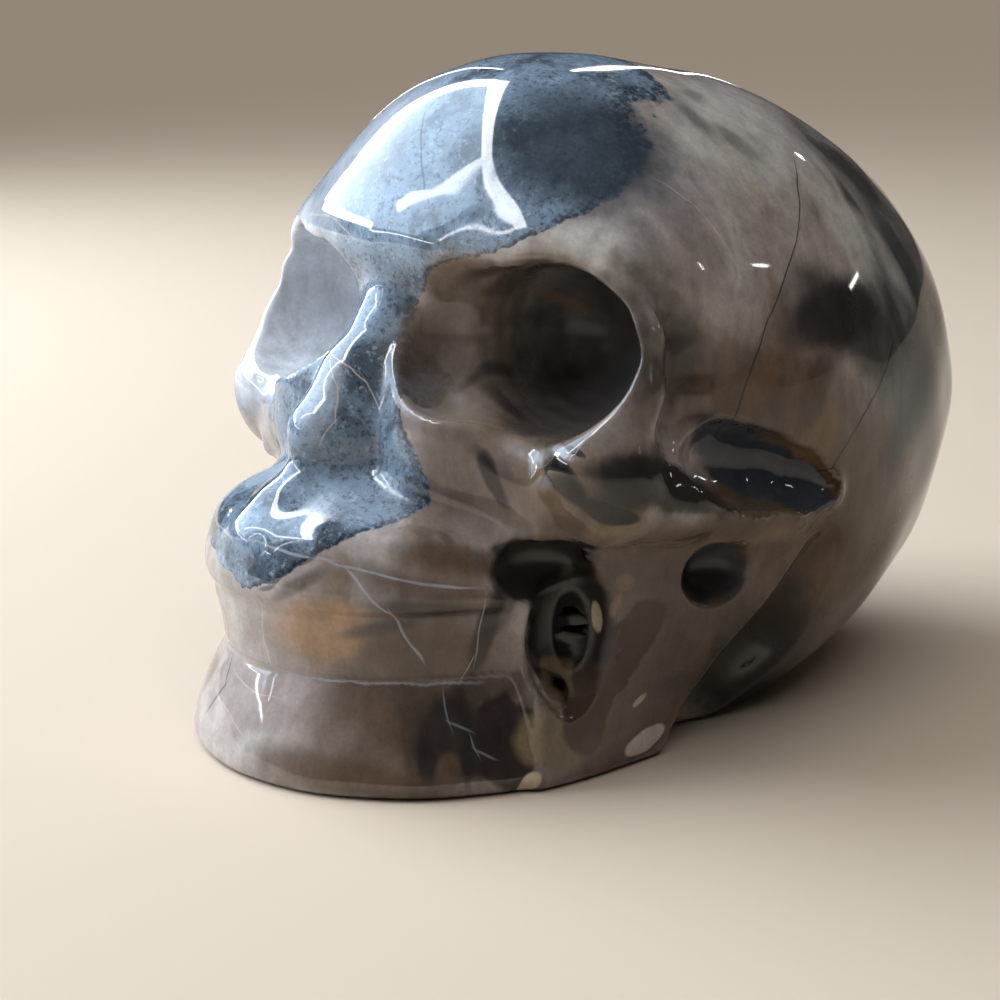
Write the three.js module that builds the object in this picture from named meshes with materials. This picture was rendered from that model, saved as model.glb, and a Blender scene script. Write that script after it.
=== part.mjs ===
import * as THREE from 'three';
import { mergeVertices } from 'three/addons/utils/BufferGeometryUtils.js';

// A small skull carved from one piece of agate and polished all over.
// Millimetres, +Z up. The face looks along -Y and the skull's left side is +X.
// The carving is symmetric, so each feature is given once, for the left side.
// The form is a distance-like field: masses are blended together, hollows are
// cut out of them, and a closed triangle mesh is then relaxed onto its surface.

const vec = (x, y, z) => new THREE.Vector3(x, y, z);

// Braincase: an egg, wide and long behind, with a slightly squared cross-section
const CRANIUM_CENTRE = vec(0, -7.5, 32.7);
const CRANIUM_HALF_WIDTH = { front: 28.3, back: 34.2 };
const CRANIUM_REACH = { front: 28.4, back: 56.2 };
const CRANIUM_HALF_HEIGHT = { below: 40.4, above: 39.3 };
const CRANIUM_SQUARENESS = 2.15;
const CRANIUM_WIDENING = { from: -40, to: 12 };
const CRANIUM_LENGTHENING = { from: -24, to: 24 };
const CRANIUM_HEIGHTENING = { from: -22, to: 22 };
const CRANIUM_MEAN_RADIUS = 30;

// Brow and the plane of the face below it
const BROW = { centre: vec(16, -13.5, 50.5), radii: vec(14, 13, 8.5), blend: 6 };
const FACE_PLANE_Y = -28.3;
const FACE_SWEEP_BACK = 0.13;
const BROW_OVERHANG = { from: 47, to: 60, depth: 5 };
const FOREHEAD_RELEASE = { from: 58, to: 72, depth: 12 };
const FACE_PLANE_BLEND = 8;

// Bars of bone: points along each one, its radius at each point
const ORBIT_BAR = {
  points: [
    vec(20, -19.5, 52), vec(25.6, -19, 50), vec(28.6, -19.5, 46), vec(29, -20.8, 41), vec(28.4, -24, 34),
  ],
  radii: [3.6, 3.6, 3.5, 4, 5.2],
  joint: 2,
  blend: 4,
};
const CHEEK_BAR = {
  points: [
    vec(10, -27.5, 31), vec(20, -26, 30.8), vec(28, -24.5, 31.5),
    vec(29.8, -16, 31), vec(31, -5, 29.5), vec(31.6, 3, 28),
  ],
  radii: [5, 4.5, 5, 4.2, 2.8, 1.7],
  joint: 3,
  blend: 4,
};
const NOSE_BAR = {
  points: [vec(0, -22, 52), vec(0, -25, 44.5), vec(0, -30.8, 38), vec(0, -35.6, 33.8)],
  radii: [4.8, 4.8, 5.2, 5],
  joint: 2,
  blend: 3.5,
};
const UPPER_JAW = { centre: vec(10, -25, 34), radii: vec(10, 9.7, 12), blend: 6 };

// Muzzle: an oval column whose outline swells and narrows with height.
// Each pair is a height and how far the oval is set out (+) or in (-) there.
const MUZZLE_CENTRE_Y = -20;
const MUZZLE_HALF_WIDTH = 25.5;
const MUZZLE_REACH = 30;
const MUZZLE_OUTLINE = [
  [-2, -0.3], [0, 0], [2, 0.2], [5, -0.5], [8, -1.9], [11.5, -2.9], [14.5, -2.5],
  [17.3, -1.8], [19.6, -1.7], [22.4, -2.2], [25.4, -4], [28.5, -7.4], [32, -11.5], [38, -18],
];
const MUZZLE_TOP = { height: 37, blend: 5 };
const MUZZLE_BACK = { y: -9, blend: 4 };
const MUZZLE_BLEND = 4;

// Jaw branch: a flat plate that flares outward as it climbs to the cheek bar
const RAMUS_OUTSIDE = { bottom: 25, flare: 8, flareTop: 30, flareFrom: -30, flareTo: 4 };
const RAMUS_THICKNESS = 9;
const RAMUS_FRONT_Y = -29;
const RAMUS_REAR_OUTLINE = [[0, -12.5], [5.7, -8.2], [14.8, -5.2], [21.6, -1.2], [28, 3]];
const RAMUS_TOP = 29;
const RAMUS_EDGE_BLEND = 2;

// Hollows cut along a line: points, radius at each point
const JAW_GROOVE = {
  points: [vec(26, -6, -2), vec(28.5, -0.6, 9), vec(33, 4.2, 20)],
  radii: [6, 4.9, 2.8],
  joint: 3,
  blend: 1.5,
};
const TEMPLE_GROOVE = {
  points: [
    vec(24.6, -20.5, 61.5), vec(28.2, -17, 58), vec(31.8, -14.4, 53),
    vec(34.4, -12.2, 46.5), vec(35.8, -10.9, 40.5), vec(35.8, -11.8, 36),
  ],
  radii: [2.2, 3.4, 4.1, 4.4, 4.6, 4.8],
  joint: 4,
  blend: 1.5,
};
const CHEEK_SCOOP = {
  points: [vec(34.7, -12, 36.2), vec(35.2, -7, 34), vec(35.4, -1, 31.2), vec(34.7, 4, 28.6)],
  radii: [4.2, 4.4, 3.6, 2],
  joint: 3,
  blend: 1.2,
};

// Round and oval pits
const EYE_SOCKET = { centre: vec(21.3, -25, 44.2), radii: vec(10.7, 13, 8.7) };
const EYE_SOCKET_TOE_IN = 0.3;
const EYE_FUNNEL = { centre: vec(13.5, -30.5, 44.8), radii: vec(8.2, 6.5, 8) };
const EYE_FUNNEL_JOIN = 3;
const EYE_RIM_BLEND = 1.8;
const PITS = [
  { centre: vec(24, -27.2, 22.6), radii: vec(5.5, 5.2, 3.4), blend: 1.5 },
  { centre: vec(26, -24.8, 15), radii: vec(6, 4.5, 7.6), blend: 1.2 },
  { centre: vec(31.5, -9.9, 20.7), radii: vec(5, 4, 3.5), blend: 1 },
];
const BASE_EDGE = 1.5;
const MIDLINE_SOFTNESS = 0.3;

// Mesh: how finely the sphere is divided and how it is drawn toward the face
const SPHERE_DETAIL = 21;
const FACE_DIRECTION = vec(0, -0.95, -0.31).normalize();
const FACE_CROWDING = 0.74;
const START_CENTRE = vec(0, -3, 34);
const START_RADIUS = 62;
const COARSENESS = { face: 1, back: 1.7, from: -26, to: 24 };
const GROWTH_STEPS = 60;
const SETTLING_STEPS = 60;
const HOLLOW_DEPTH = 14;
const LARGEST_MOVE = 1.2;
const GRADIENT_REACH = 0.05;
const FLATTEST_SLOPE = 0.2;
const SEAM_TOLERANCE = 1e-4;
const TINY = 1e-6;

// How far p is outside the egg of the braincase, about in millimetres
function craniumDistance(x, y, z) {
  const dy = y - CRANIUM_CENTRE.y;
  const dz = z - CRANIUM_CENTRE.z;
  const step = THREE.MathUtils.smoothstep;
  const backward = step(y, CRANIUM_WIDENING.from, CRANIUM_WIDENING.to);
  const halfWidth = blendBetween(CRANIUM_HALF_WIDTH.front, CRANIUM_HALF_WIDTH.back, backward);
  const behind = step(dy, CRANIUM_LENGTHENING.from, CRANIUM_LENGTHENING.to);
  const reach = blendBetween(CRANIUM_REACH.front, CRANIUM_REACH.back, behind);
  const above = step(dz, CRANIUM_HEIGHTENING.from, CRANIUM_HEIGHTENING.to);
  const halfHeight = blendBetween(CRANIUM_HALF_HEIGHT.below, CRANIUM_HALF_HEIGHT.above, above);
  const profile = Math.hypot(dy / reach, dz / halfHeight);
  const power = CRANIUM_SQUARENESS;
  const scaled = ((x / halfWidth) ** power + profile ** power) ** (1 / power);
  return (scaled - 1) * CRANIUM_MEAN_RADIUS;
}

function blendBetween(a, b, amount) {
  return a + (b - a) * amount;
}

// The smaller of two distances, with a fillet of about the given size between them
function softMin(a, b, blend) {
  const overlap = Math.max(blend - Math.abs(a - b), 0) / blend;
  return Math.min(a, b) - (overlap * overlap * blend) / 4;
}

function softMax(a, b, blend) {
  return -softMin(-a, -b, blend);
}

function ellipsoidDistance(x, y, z, { centre, radii }) {
  const px = (x - centre.x) / radii.x;
  const py = (y - centre.y) / radii.y;
  const pz = (z - centre.z) / radii.z;
  const scaled = Math.hypot(px, py, pz);
  const slope = Math.hypot(px / radii.x, py / radii.y, pz / radii.z);
  return (scaled * (scaled - 1)) / Math.max(slope, TINY);
}

// Distance to one tapering round bar from a to b
function barDistance(x, y, z, a, b, radiusA, radiusB) {
  const abx = b.x - a.x;
  const aby = b.y - a.y;
  const abz = b.z - a.z;
  const lengthSquared = abx * abx + aby * aby + abz * abz;
  const along = (x - a.x) * abx + (y - a.y) * aby + (z - a.z) * abz;
  const t = THREE.MathUtils.clamp(along / lengthSquared, 0, 1);
  const gap = Math.hypot(x - a.x - abx * t, y - a.y - aby * t, z - a.z - abz * t);
  return gap - blendBetween(radiusA, radiusB, t);
}

// Distance to a run of bars joined end to end
function chainDistance(x, y, z, { points, radii, joint }) {
  let distance = barDistance(x, y, z, points[0], points[1], radii[0], radii[1]);
  for (let i = 1; i < points.length - 1; i++) {
    const next = barDistance(x, y, z, points[i], points[i + 1], radii[i], radii[i + 1]);
    distance = softMin(distance, next, joint);
  }
  return distance;
}

// A smooth curve through [height, value] pairs, flat beyond both ends
function curveAt(pairs, height) {
  const last = pairs.length - 1;
  if (height <= pairs[0][0]) return pairs[0][1];
  if (height >= pairs[last][0]) return pairs[last][1];
  const i = pairs.findIndex((pair) => pair[0] > height) - 1;
  const steepnessAt = (k) => {
    const before = pairs[Math.max(k - 1, 0)];
    const after = pairs[Math.min(k + 1, last)];
    return (after[1] - before[1]) / (after[0] - before[0]);
  };
  const span = pairs[i + 1][0] - pairs[i][0];
  const t = (height - pairs[i][0]) / span;
  const rise = t * t * (3 - 2 * t);
  const startPull = t * (1 - t) * (1 - t) * span * steepnessAt(i);
  const endPull = t * t * (t - 1) * span * steepnessAt(i + 1);
  return blendBetween(pairs[i][1], pairs[i + 1][1], rise) + startPull + endPull;
}

// The face falls behind this plane under the brow, and is free above it
function facePlaneDistance(x, y, z) {
  const step = THREE.MathUtils.smoothstep;
  const plane = FACE_PLANE_Y + FACE_SWEEP_BACK * x
    - BROW_OVERHANG.depth * step(z, BROW_OVERHANG.from, BROW_OVERHANG.to)
    - FOREHEAD_RELEASE.depth * step(z, FOREHEAD_RELEASE.from, FOREHEAD_RELEASE.to);
  return plane - y;
}

function muzzleDistance(x, y, z) {
  const setOut = curveAt(MUZZLE_OUTLINE, z);
  const halfWidth = MUZZLE_HALF_WIDTH + setOut;
  const reach = MUZZLE_REACH + setOut;
  const column = (Math.hypot(x / halfWidth, (y - MUZZLE_CENTRE_Y) / reach) - 1) * halfWidth;
  const capped = softMax(column, z - MUZZLE_TOP.height, MUZZLE_TOP.blend);
  return softMax(capped, y - MUZZLE_BACK.y, MUZZLE_BACK.blend);
}

function ramusDistance(x, y, z) {
  const climb = THREE.MathUtils.smoothstep(z, 0, RAMUS_OUTSIDE.flareTop);
  const backward = THREE.MathUtils.smoothstep(y, RAMUS_OUTSIDE.flareFrom, RAMUS_OUTSIDE.flareTo);
  const outside = RAMUS_OUTSIDE.bottom + RAMUS_OUTSIDE.flare * climb * backward;
  const sides = softMax(x - outside, outside - RAMUS_THICKNESS - x, RAMUS_EDGE_BLEND);
  const ends = softMax(y - curveAt(RAMUS_REAR_OUTLINE, z), RAMUS_FRONT_Y - y, RAMUS_EDGE_BLEND);
  return softMax(softMax(sides, ends, RAMUS_EDGE_BLEND / 2), z - RAMUS_TOP, RAMUS_EDGE_BLEND);
}

function eyeSocketDistance(x, y, z) {
  const shifted = x + EYE_SOCKET_TOE_IN * (y - EYE_SOCKET.centre.y);
  const hole = ellipsoidDistance(shifted, y, z, EYE_SOCKET);
  return softMin(hole, ellipsoidDistance(x, y, z, EYE_FUNNEL), EYE_FUNNEL_JOIN);
}

// The whole form. closed is how far each hollow is still filled in, in millimetres.
function skullDistance(point, closed) {
  const x = Math.hypot(point.x, MIDLINE_SOFTNESS);
  const { y, z } = point;
  let form = craniumDistance(x, y, z);
  form = softMin(form, ellipsoidDistance(x, y, z, BROW), BROW.blend);
  form = softMax(form, facePlaneDistance(x, y, z), FACE_PLANE_BLEND);
  form = softMin(form, chainDistance(x, y, z, ORBIT_BAR), ORBIT_BAR.blend);
  form = softMin(form, chainDistance(x, y, z, CHEEK_BAR), CHEEK_BAR.blend);
  form = softMin(form, muzzleDistance(x, y, z), MUZZLE_BLEND);
  form = softMin(form, ellipsoidDistance(x, y, z, UPPER_JAW), UPPER_JAW.blend);
  form = softMin(form, chainDistance(x, y, z, NOSE_BAR), NOSE_BAR.blend);
  form = softMin(form, ramusDistance(x, y, z), RAMUS_EDGE_BLEND);
  for (const groove of [JAW_GROOVE, TEMPLE_GROOVE, CHEEK_SCOOP]) {
    form = softMax(form, -chainDistance(x, y, z, groove) - closed, groove.blend);
  }
  form = softMax(form, -eyeSocketDistance(x, y, z) - closed, EYE_RIM_BLEND);
  for (const pit of PITS) {
    form = softMax(form, -ellipsoidDistance(x, y, z, pit) - closed, pit.blend);
  }
  return softMax(form, -z, BASE_EDGE);
}

// Which way the field grows at a point, and its value there
function slopeAt(point, closed, slope) {
  const value = skullDistance(point, closed);
  for (const axis of ['x', 'y', 'z']) {
    const kept = point[axis];
    point[axis] = kept + GRADIENT_REACH;
    slope[axis] = (skullDistance(point, closed) - value) / GRADIENT_REACH;
    point[axis] = kept;
  }
  return value;
}

// Move a point straight onto the form's surface, in a bounded step
function pullOntoForm(point, closed) {
  const slope = vec(0, 0, 0);
  const value = slopeAt(point, closed, slope);
  const move = value / Math.max(slope.lengthSq(), FLATTEST_SLOPE);
  const steepness = slope.length();
  const bounded = THREE.MathUtils.clamp(move * steepness, -LARGEST_MOVE, LARGEST_MOVE);
  point.addScaledVector(slope, -bounded / Math.max(steepness, TINY));
  return slope.divideScalar(Math.max(steepness, TINY));
}

// A unit direction, drawn toward the face so that the mesh is finer there
function crowdTowardFace(direction) {
  const height = direction.dot(FACE_DIRECTION);
  const pull = FACE_CROWDING ** 2;
  const crowded = (1 + height - pull * (1 - height)) / (1 + height + pull * (1 - height));
  const side = direction.clone().addScaledVector(FACE_DIRECTION, -height);
  side.setLength(Math.sqrt(Math.max(1 - crowded * crowded, 0)));
  return side.addScaledVector(FACE_DIRECTION, crowded);
}

// Every vertex goes toward the centroid of the triangles around it, along the surface
function evenOut(vertices, triangles, normals) {
  const pull = vertices.map(() => vec(0, 0, 0));
  const weight = new Float64Array(vertices.length);
  const centroid = vec(0, 0, 0);
  const triangle = new THREE.Triangle();
  for (const corners of triangles) {
    triangle.set(...corners.map((corner) => vertices[corner]));
    triangle.getMidpoint(centroid);
    const back = THREE.MathUtils.smoothstep(centroid.y, COARSENESS.from, COARSENESS.to);
    const edge = blendBetween(COARSENESS.face, COARSENESS.back, back);
    const share = triangle.getArea() / edge ** 4;
    for (const corner of corners) {
      pull[corner].addScaledVector(centroid, share);
      weight[corner] += share;
    }
  }
  vertices.forEach((vertex, i) => {
    const move = pull[i].divideScalar(weight[i]).sub(vertex);
    move.addScaledVector(normals[i], -move.dot(normals[i]));
    vertex.add(move);
  });
}

// Wrap a divided sphere around the form: hollows open little by little while it settles
function wrapForm() {
  const sphere = new THREE.IcosahedronGeometry(1, SPHERE_DETAIL);
  sphere.deleteAttribute('normal');
  sphere.deleteAttribute('uv');
  const shell = mergeVertices(sphere, SEAM_TOLERANCE);
  const position = shell.getAttribute('position');
  const index = shell.getIndex();
  const vertices = [];
  for (let i = 0; i < position.count; i++) {
    const direction = crowdTowardFace(vec(0, 0, 0).fromBufferAttribute(position, i).normalize());
    vertices.push(direction.multiplyScalar(START_RADIUS).add(START_CENTRE));
  }
  const triangles = [];
  for (let i = 0; i < index.count; i += 3) {
    triangles.push([index.getX(i), index.getX(i + 1), index.getX(i + 2)]);
  }
  for (let step = 0; step < GROWTH_STEPS + SETTLING_STEPS; step++) {
    const closed = HOLLOW_DEPTH * Math.max(1 - step / GROWTH_STEPS, 0);
    const normals = vertices.map((vertex) => pullOntoForm(vertex, closed));
    evenOut(vertices, triangles, normals);
  }
  for (const vertex of vertices) {
    pullOntoForm(vertex, 0);
    pullOntoForm(vertex, 0);
    pullOntoForm(vertex, 0);
  }
  vertices.forEach((vertex, i) => position.setXYZ(i, vertex.x, vertex.y, vertex.z));
  return shell;
}

// Stand the skull on z = 0 with the middle of its box over the origin
function centreOnBase(geometry) {
  geometry.computeBoundingBox();
  const { min, max } = geometry.boundingBox;
  geometry.translate(-(min.x + max.x) / 2, -(min.y + max.y) / 2, -min.z);
  return geometry;
}

const agate = new THREE.MeshStandardMaterial({ color: 0x6f6a68, roughness: 0.12, metalness: 0 });
const skull = new THREE.Mesh(centreOnBase(wrapForm()), agate);
skull.name = 'skull';

const part = new THREE.Group();
part.name = 'volcano_agate_skull';
part.add(skull);

export default part;
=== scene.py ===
"""Looks of a carved volcano agate skull: fine carving, agate figure, polish, floor, lights, camera."""

import logging
import math
from dataclasses import dataclass, field, replace
from enum import Enum
from typing import Any, Optional, Sequence, Union

import bmesh
import bpy
import numpy as np
from mathutils import Euler, Matrix, Vector


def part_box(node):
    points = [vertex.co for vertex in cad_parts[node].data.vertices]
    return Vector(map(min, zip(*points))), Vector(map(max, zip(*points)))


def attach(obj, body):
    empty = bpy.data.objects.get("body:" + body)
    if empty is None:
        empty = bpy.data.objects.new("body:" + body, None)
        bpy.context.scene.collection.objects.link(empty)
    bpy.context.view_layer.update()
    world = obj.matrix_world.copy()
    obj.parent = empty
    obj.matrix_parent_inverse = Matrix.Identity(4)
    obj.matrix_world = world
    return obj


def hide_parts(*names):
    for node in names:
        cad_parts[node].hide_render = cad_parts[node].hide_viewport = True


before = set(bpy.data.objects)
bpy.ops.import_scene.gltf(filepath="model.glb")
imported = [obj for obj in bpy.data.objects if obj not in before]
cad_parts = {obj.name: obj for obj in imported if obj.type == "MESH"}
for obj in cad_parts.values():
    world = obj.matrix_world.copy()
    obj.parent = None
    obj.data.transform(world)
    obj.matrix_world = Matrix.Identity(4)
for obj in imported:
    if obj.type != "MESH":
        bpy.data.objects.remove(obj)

Array = np.ndarray
Pair = tuple[float, float]
Triple = tuple[float, float, float]
Socket = bpy.types.NodeSocket
Number = Union[int, float]

MM = 0.001
TINY = 1e-6
NODE = "skull"

log = logging.getLogger("agate_skull")


def smooth_step(low: float, high: float, value: Array) -> Array:
    """Rise smoothly from 0 to 1.

    Args:
        low: Where the rise starts.
        high: Where the rise ends.
        value: The values to map.

    Returns:
        A number from 0 to 1 for each value.
    """
    t = np.clip((value - low) / (high - low), 0.0, 1.0)
    return t * t * (3.0 - 2.0 * t)


def soft_min(a: Array, b: Array, blend: Union[float, Array]) -> Array:
    """Join two masses with a fillet.

    Args:
        a: Distance to the first mass.
        b: Distance to the second mass.
        blend: Size of the fillet, in millimetres.

    Returns:
        Distance to both together.
    """
    overlap = np.maximum(blend - np.abs(a - b), 0.0) / blend
    return np.minimum(a, b) - overlap * overlap * blend / 4.0


def soft_max(a: Array, b: Array, blend: Union[float, Array]) -> Array:
    """Keep what two masses share, with a rounded edge of about the size of blend."""
    return -soft_min(-a, -b, blend)


def length(vectors: Array) -> Array:
    """Length of each row."""
    return np.sqrt(np.einsum("ij,ij->i", vectors, vectors))


@dataclass(frozen=True)
class Lump:
    """An ellipsoid: a mass, or a hollow where it is cut."""

    centre: Triple
    radii: Triple
    blend: float = 1.0

    def distance(self, p: Array) -> Array:
        """About how far each point is outside the ellipsoid, in millimetres.

        Args:
            p: Points in millimetres, one to a row.

        Returns:
            A distance for each point, negative inside.
        """
        scaled = (p - self.centre) / self.radii
        reach = length(scaled)
        return reach * (reach - 1.0) / np.maximum(length(scaled / self.radii), TINY)


@dataclass(frozen=True)
class Rod:
    """A run of tapering round bars: a ridge, or a groove where it is cut."""

    points: tuple[Triple, ...]
    radii: tuple[float, ...]
    blend: float = 1.0
    joint: float = 2.0

    def distance(self, p: Array) -> Array:
        """How far each point is outside the bars, in millimetres.

        Args:
            p: Points in millimetres, one to a row.

        Returns:
            A distance for each point, negative inside.
        """
        nearest: Optional[Array] = None
        ends = zip(self.points, self.points[1:], self.radii, self.radii[1:])
        for a, b, radius_a, radius_b in ends:
            run = np.subtract(b, a)
            from_a = p - a
            t = np.clip(from_a @ run / (run @ run), 0.0, 1.0)
            gap = length(from_a - t[:, None] * run) - (radius_a + (radius_b - radius_a) * t)
            nearest = gap if nearest is None else soft_min(nearest, gap, self.joint)
        return nearest


@dataclass(frozen=True)
class Profile:
    """A smooth curve through (height, value) pairs, flat beyond both ends."""

    pairs: tuple[Pair, ...]

    def at(self, height: Array) -> Array:
        """The curve's value at each height.

        Args:
            height: Heights in millimetres.

        Returns:
            A value for each height.
        """
        heights, values = np.array(self.pairs).T
        before = np.r_[0, np.arange(len(heights) - 1)]
        after = np.r_[np.arange(1, len(heights)), len(heights) - 1]
        slopes = (values[after] - values[before]) / (heights[after] - heights[before])
        h = np.clip(height, heights[0], heights[-1])
        i = np.clip(np.searchsorted(heights, h, side="right") - 1, 0, len(heights) - 2)
        span = heights[i + 1] - heights[i]
        t = (h - heights[i]) / span
        rise = t * t * (3.0 - 2.0 * t)
        pull_start = t * (1.0 - t) ** 2 * span * slopes[i]
        pull_end = t * t * (t - 1.0) * span * slopes[i + 1]
        return values[i] + (values[i + 1] - values[i]) * rise + pull_start + pull_end


@dataclass(frozen=True)
class Cranium:
    """The braincase: an egg with a slightly squared section."""

    centre: Triple = (0.0, -7.5, 32.7)
    half_width: Pair = (28.3, 34.2)
    reach: Pair = (28.4, 56.2)
    half_height: Pair = (40.4, 39.3)
    squareness: float = 2.15
    scale: float = 30.0
    widening: Pair = (-40.0, 12.0)
    lengthening: float = 24.0
    heightening: float = 22.0

    def distance(self, p: Array) -> Array:
        """About how far each point is outside the egg, in millimetres.

        Args:
            p: Points in millimetres, one to a row.

        Returns:
            A distance for each point, negative inside.
        """
        x, y, z = p.T
        dy = y - self.centre[1]
        dz = z - self.centre[2]
        half_width = between(self.half_width, smooth_step(*self.widening, y))
        reach = between(self.reach, smooth_step(-self.lengthening, self.lengthening, dy))
        half_height = between(self.half_height, smooth_step(-self.heightening, self.heightening, dz))
        side = np.hypot(dy / reach, dz / half_height)
        power = self.squareness
        return ((np.abs(x / half_width) ** power + side**power) ** (1 / power) - 1.0) * self.scale


def between(ends: Pair, share: Array) -> Array:
    """A value for each share of the way from the first end to the second."""
    return ends[0] + (ends[1] - ends[0]) * share


@dataclass(frozen=True)
class FacePlane:
    """The plane that the face falls behind, free above the brow."""

    y: float = -28.3
    sweep: float = 0.13
    overhang: Triple = (46.0, 56.0, 5.0)
    release: Triple = (58.0, 72.0, 12.0)
    blend: Pair = (8.0, 4.6)
    blend_height: Pair = (45.0, 53.0)

    def rounding(self, p: Array) -> Array:
        """Size of the rounded edge at each point: broad on the cheek, tight on the brow."""
        return between(self.blend, smooth_step(*self.blend_height, p[:, 2]))

    def distance(self, p: Array) -> Array:
        """How far each point is in front of the plane, in millimetres.

        Args:
            p: Points in millimetres, one to a row.

        Returns:
            A distance for each point, negative behind.
        """
        x, y, z = p.T
        plane = self.y + self.sweep * x
        for low, high, depth in (self.overhang, self.release):
            plane = plane - depth * smooth_step(low, high, z)
        return plane - y


@dataclass(frozen=True)
class Muzzle:
    """An oval column whose outline swells and narrows with height, from the jaw to the nose."""

    centre_y: float = -20.0
    half_width: float = 25.5
    reach: float = 30.0
    narrowing: float = 1.45
    outline: Profile = Profile((
        (-2.0, -0.3), (0.0, 0.0), (1.6, 0.25), (5.0, -0.6), (8.0, -1.7), (10.6, -2.9), (11.2, -3.2),
        (12.0, -2.95), (14.5, -2.7), (17.0, -2.2), (18.3, -2.1), (19.4, -1.4), (20.8, -1.35),
        (22.5, -1.75), (24.5, -2.35), (25.8, -3.1), (26.8, -4.2), (27.6, -5.6), (28.5, -7.3), (29.5, -9.1),
        (31.5, -12.4), (34.0, -14.4), (38.0, -15.4),
    ))
    top: Pair = (37.0, 5.0)
    back: Pair = (-9.0, 4.0)
    blend: float = 4.0

    def distance(self, p: Array) -> Array:
        """About how far each point is outside the column, in millimetres.

        Args:
            p: Points in millimetres, one to a row.

        Returns:
            A distance for each point, negative inside.
        """
        x, y, z = p.T
        set_out = self.outline.at(z)
        half_width = self.half_width + set_out * self.narrowing
        column = (np.hypot(x / half_width, (y - self.centre_y) / (self.reach + set_out)) - 1.0) * half_width
        capped = soft_max(column, z - self.top[0], self.top[1])
        return soft_max(capped, y - self.back[0], self.back[1])


@dataclass(frozen=True)
class Ramus:
    """The jaw's branch: a flat plate that flares outward as it climbs to the cheek."""

    outside: float = 25.0
    flare: float = 8.0
    flare_height: Pair = (0.0, 30.0)
    flare_depth: Pair = (-30.0, 4.0)
    thickness: float = 9.0
    front_y: float = -29.0
    rear: Profile = Profile(((0.0, -12.5), (5.7, -8.2), (14.8, -5.2), (21.6, -1.2), (28.0, 3.0)))
    top: float = 29.0
    edge: float = 2.0

    def distance(self, p: Array) -> Array:
        """About how far each point is outside the plate, in millimetres.

        Args:
            p: Points in millimetres, one to a row.

        Returns:
            A distance for each point, negative inside.
        """
        x, y, z = p.T
        share = smooth_step(*self.flare_height, z) * smooth_step(*self.flare_depth, y)
        outside = self.outside + self.flare * share
        sides = soft_max(x - outside, outside - self.thickness - x, self.edge)
        ends = soft_max(y - self.rear.at(z), self.front_y - y, self.edge)
        return soft_max(soft_max(sides, ends, self.edge / 2.0), z - self.top, self.edge)


@dataclass(frozen=True)
class EyeSocket:
    """A round deep hole that opens toward the nose in a shallow funnel."""

    hole: Lump = Lump((21.3, -25.0, 44.2), (10.7, 13.0, 8.7))
    toe_in: float = 0.3
    funnel: Lump = Lump((13.5, -30.5, 44.8), (8.2, 6.5, 8.0))
    join: float = 3.0
    blend: float = 1.2
    ring_step: float = 2.3
    ring_height: float = 0.04
    rings_from: Pair = (-27.0, -22.0)

    def distance(self, p: Array) -> Array:
        """About how far each point is outside the hole and the funnel, in millimetres.

        Args:
            p: Points in millimetres, one to a row.

        Returns:
            A distance for each point, negative inside.
        """
        turned = p.copy()
        turned[:, 0] += self.toe_in * (p[:, 1] - self.hole.centre[1])
        depth = p[:, 1]
        rings = np.sin(depth * (2.0 * math.pi / self.ring_step)) * smooth_step(*self.rings_from, depth)
        opened = soft_min(self.hole.distance(turned), self.funnel.distance(p), self.join)
        return opened + self.ring_height * rings


@dataclass(frozen=True)
class HandPolish:
    """The slight unevenness that polishing by hand leaves, as a few long waves."""

    height: float = 0.04
    waves: tuple[Triple, ...] = (
        (0.42, 0.18, 0.31), (-0.25, 0.47, 0.22), (0.13, -0.36, 0.51), (0.55, 0.30, -0.20),
    )

    def height_at(self, p: Array) -> Array:
        """How much each point stands proud, in millimetres."""
        turns = p @ np.array(self.waves).T
        return self.height * np.sin(turns + np.arange(len(self.waves))).sum(axis=1)


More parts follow.
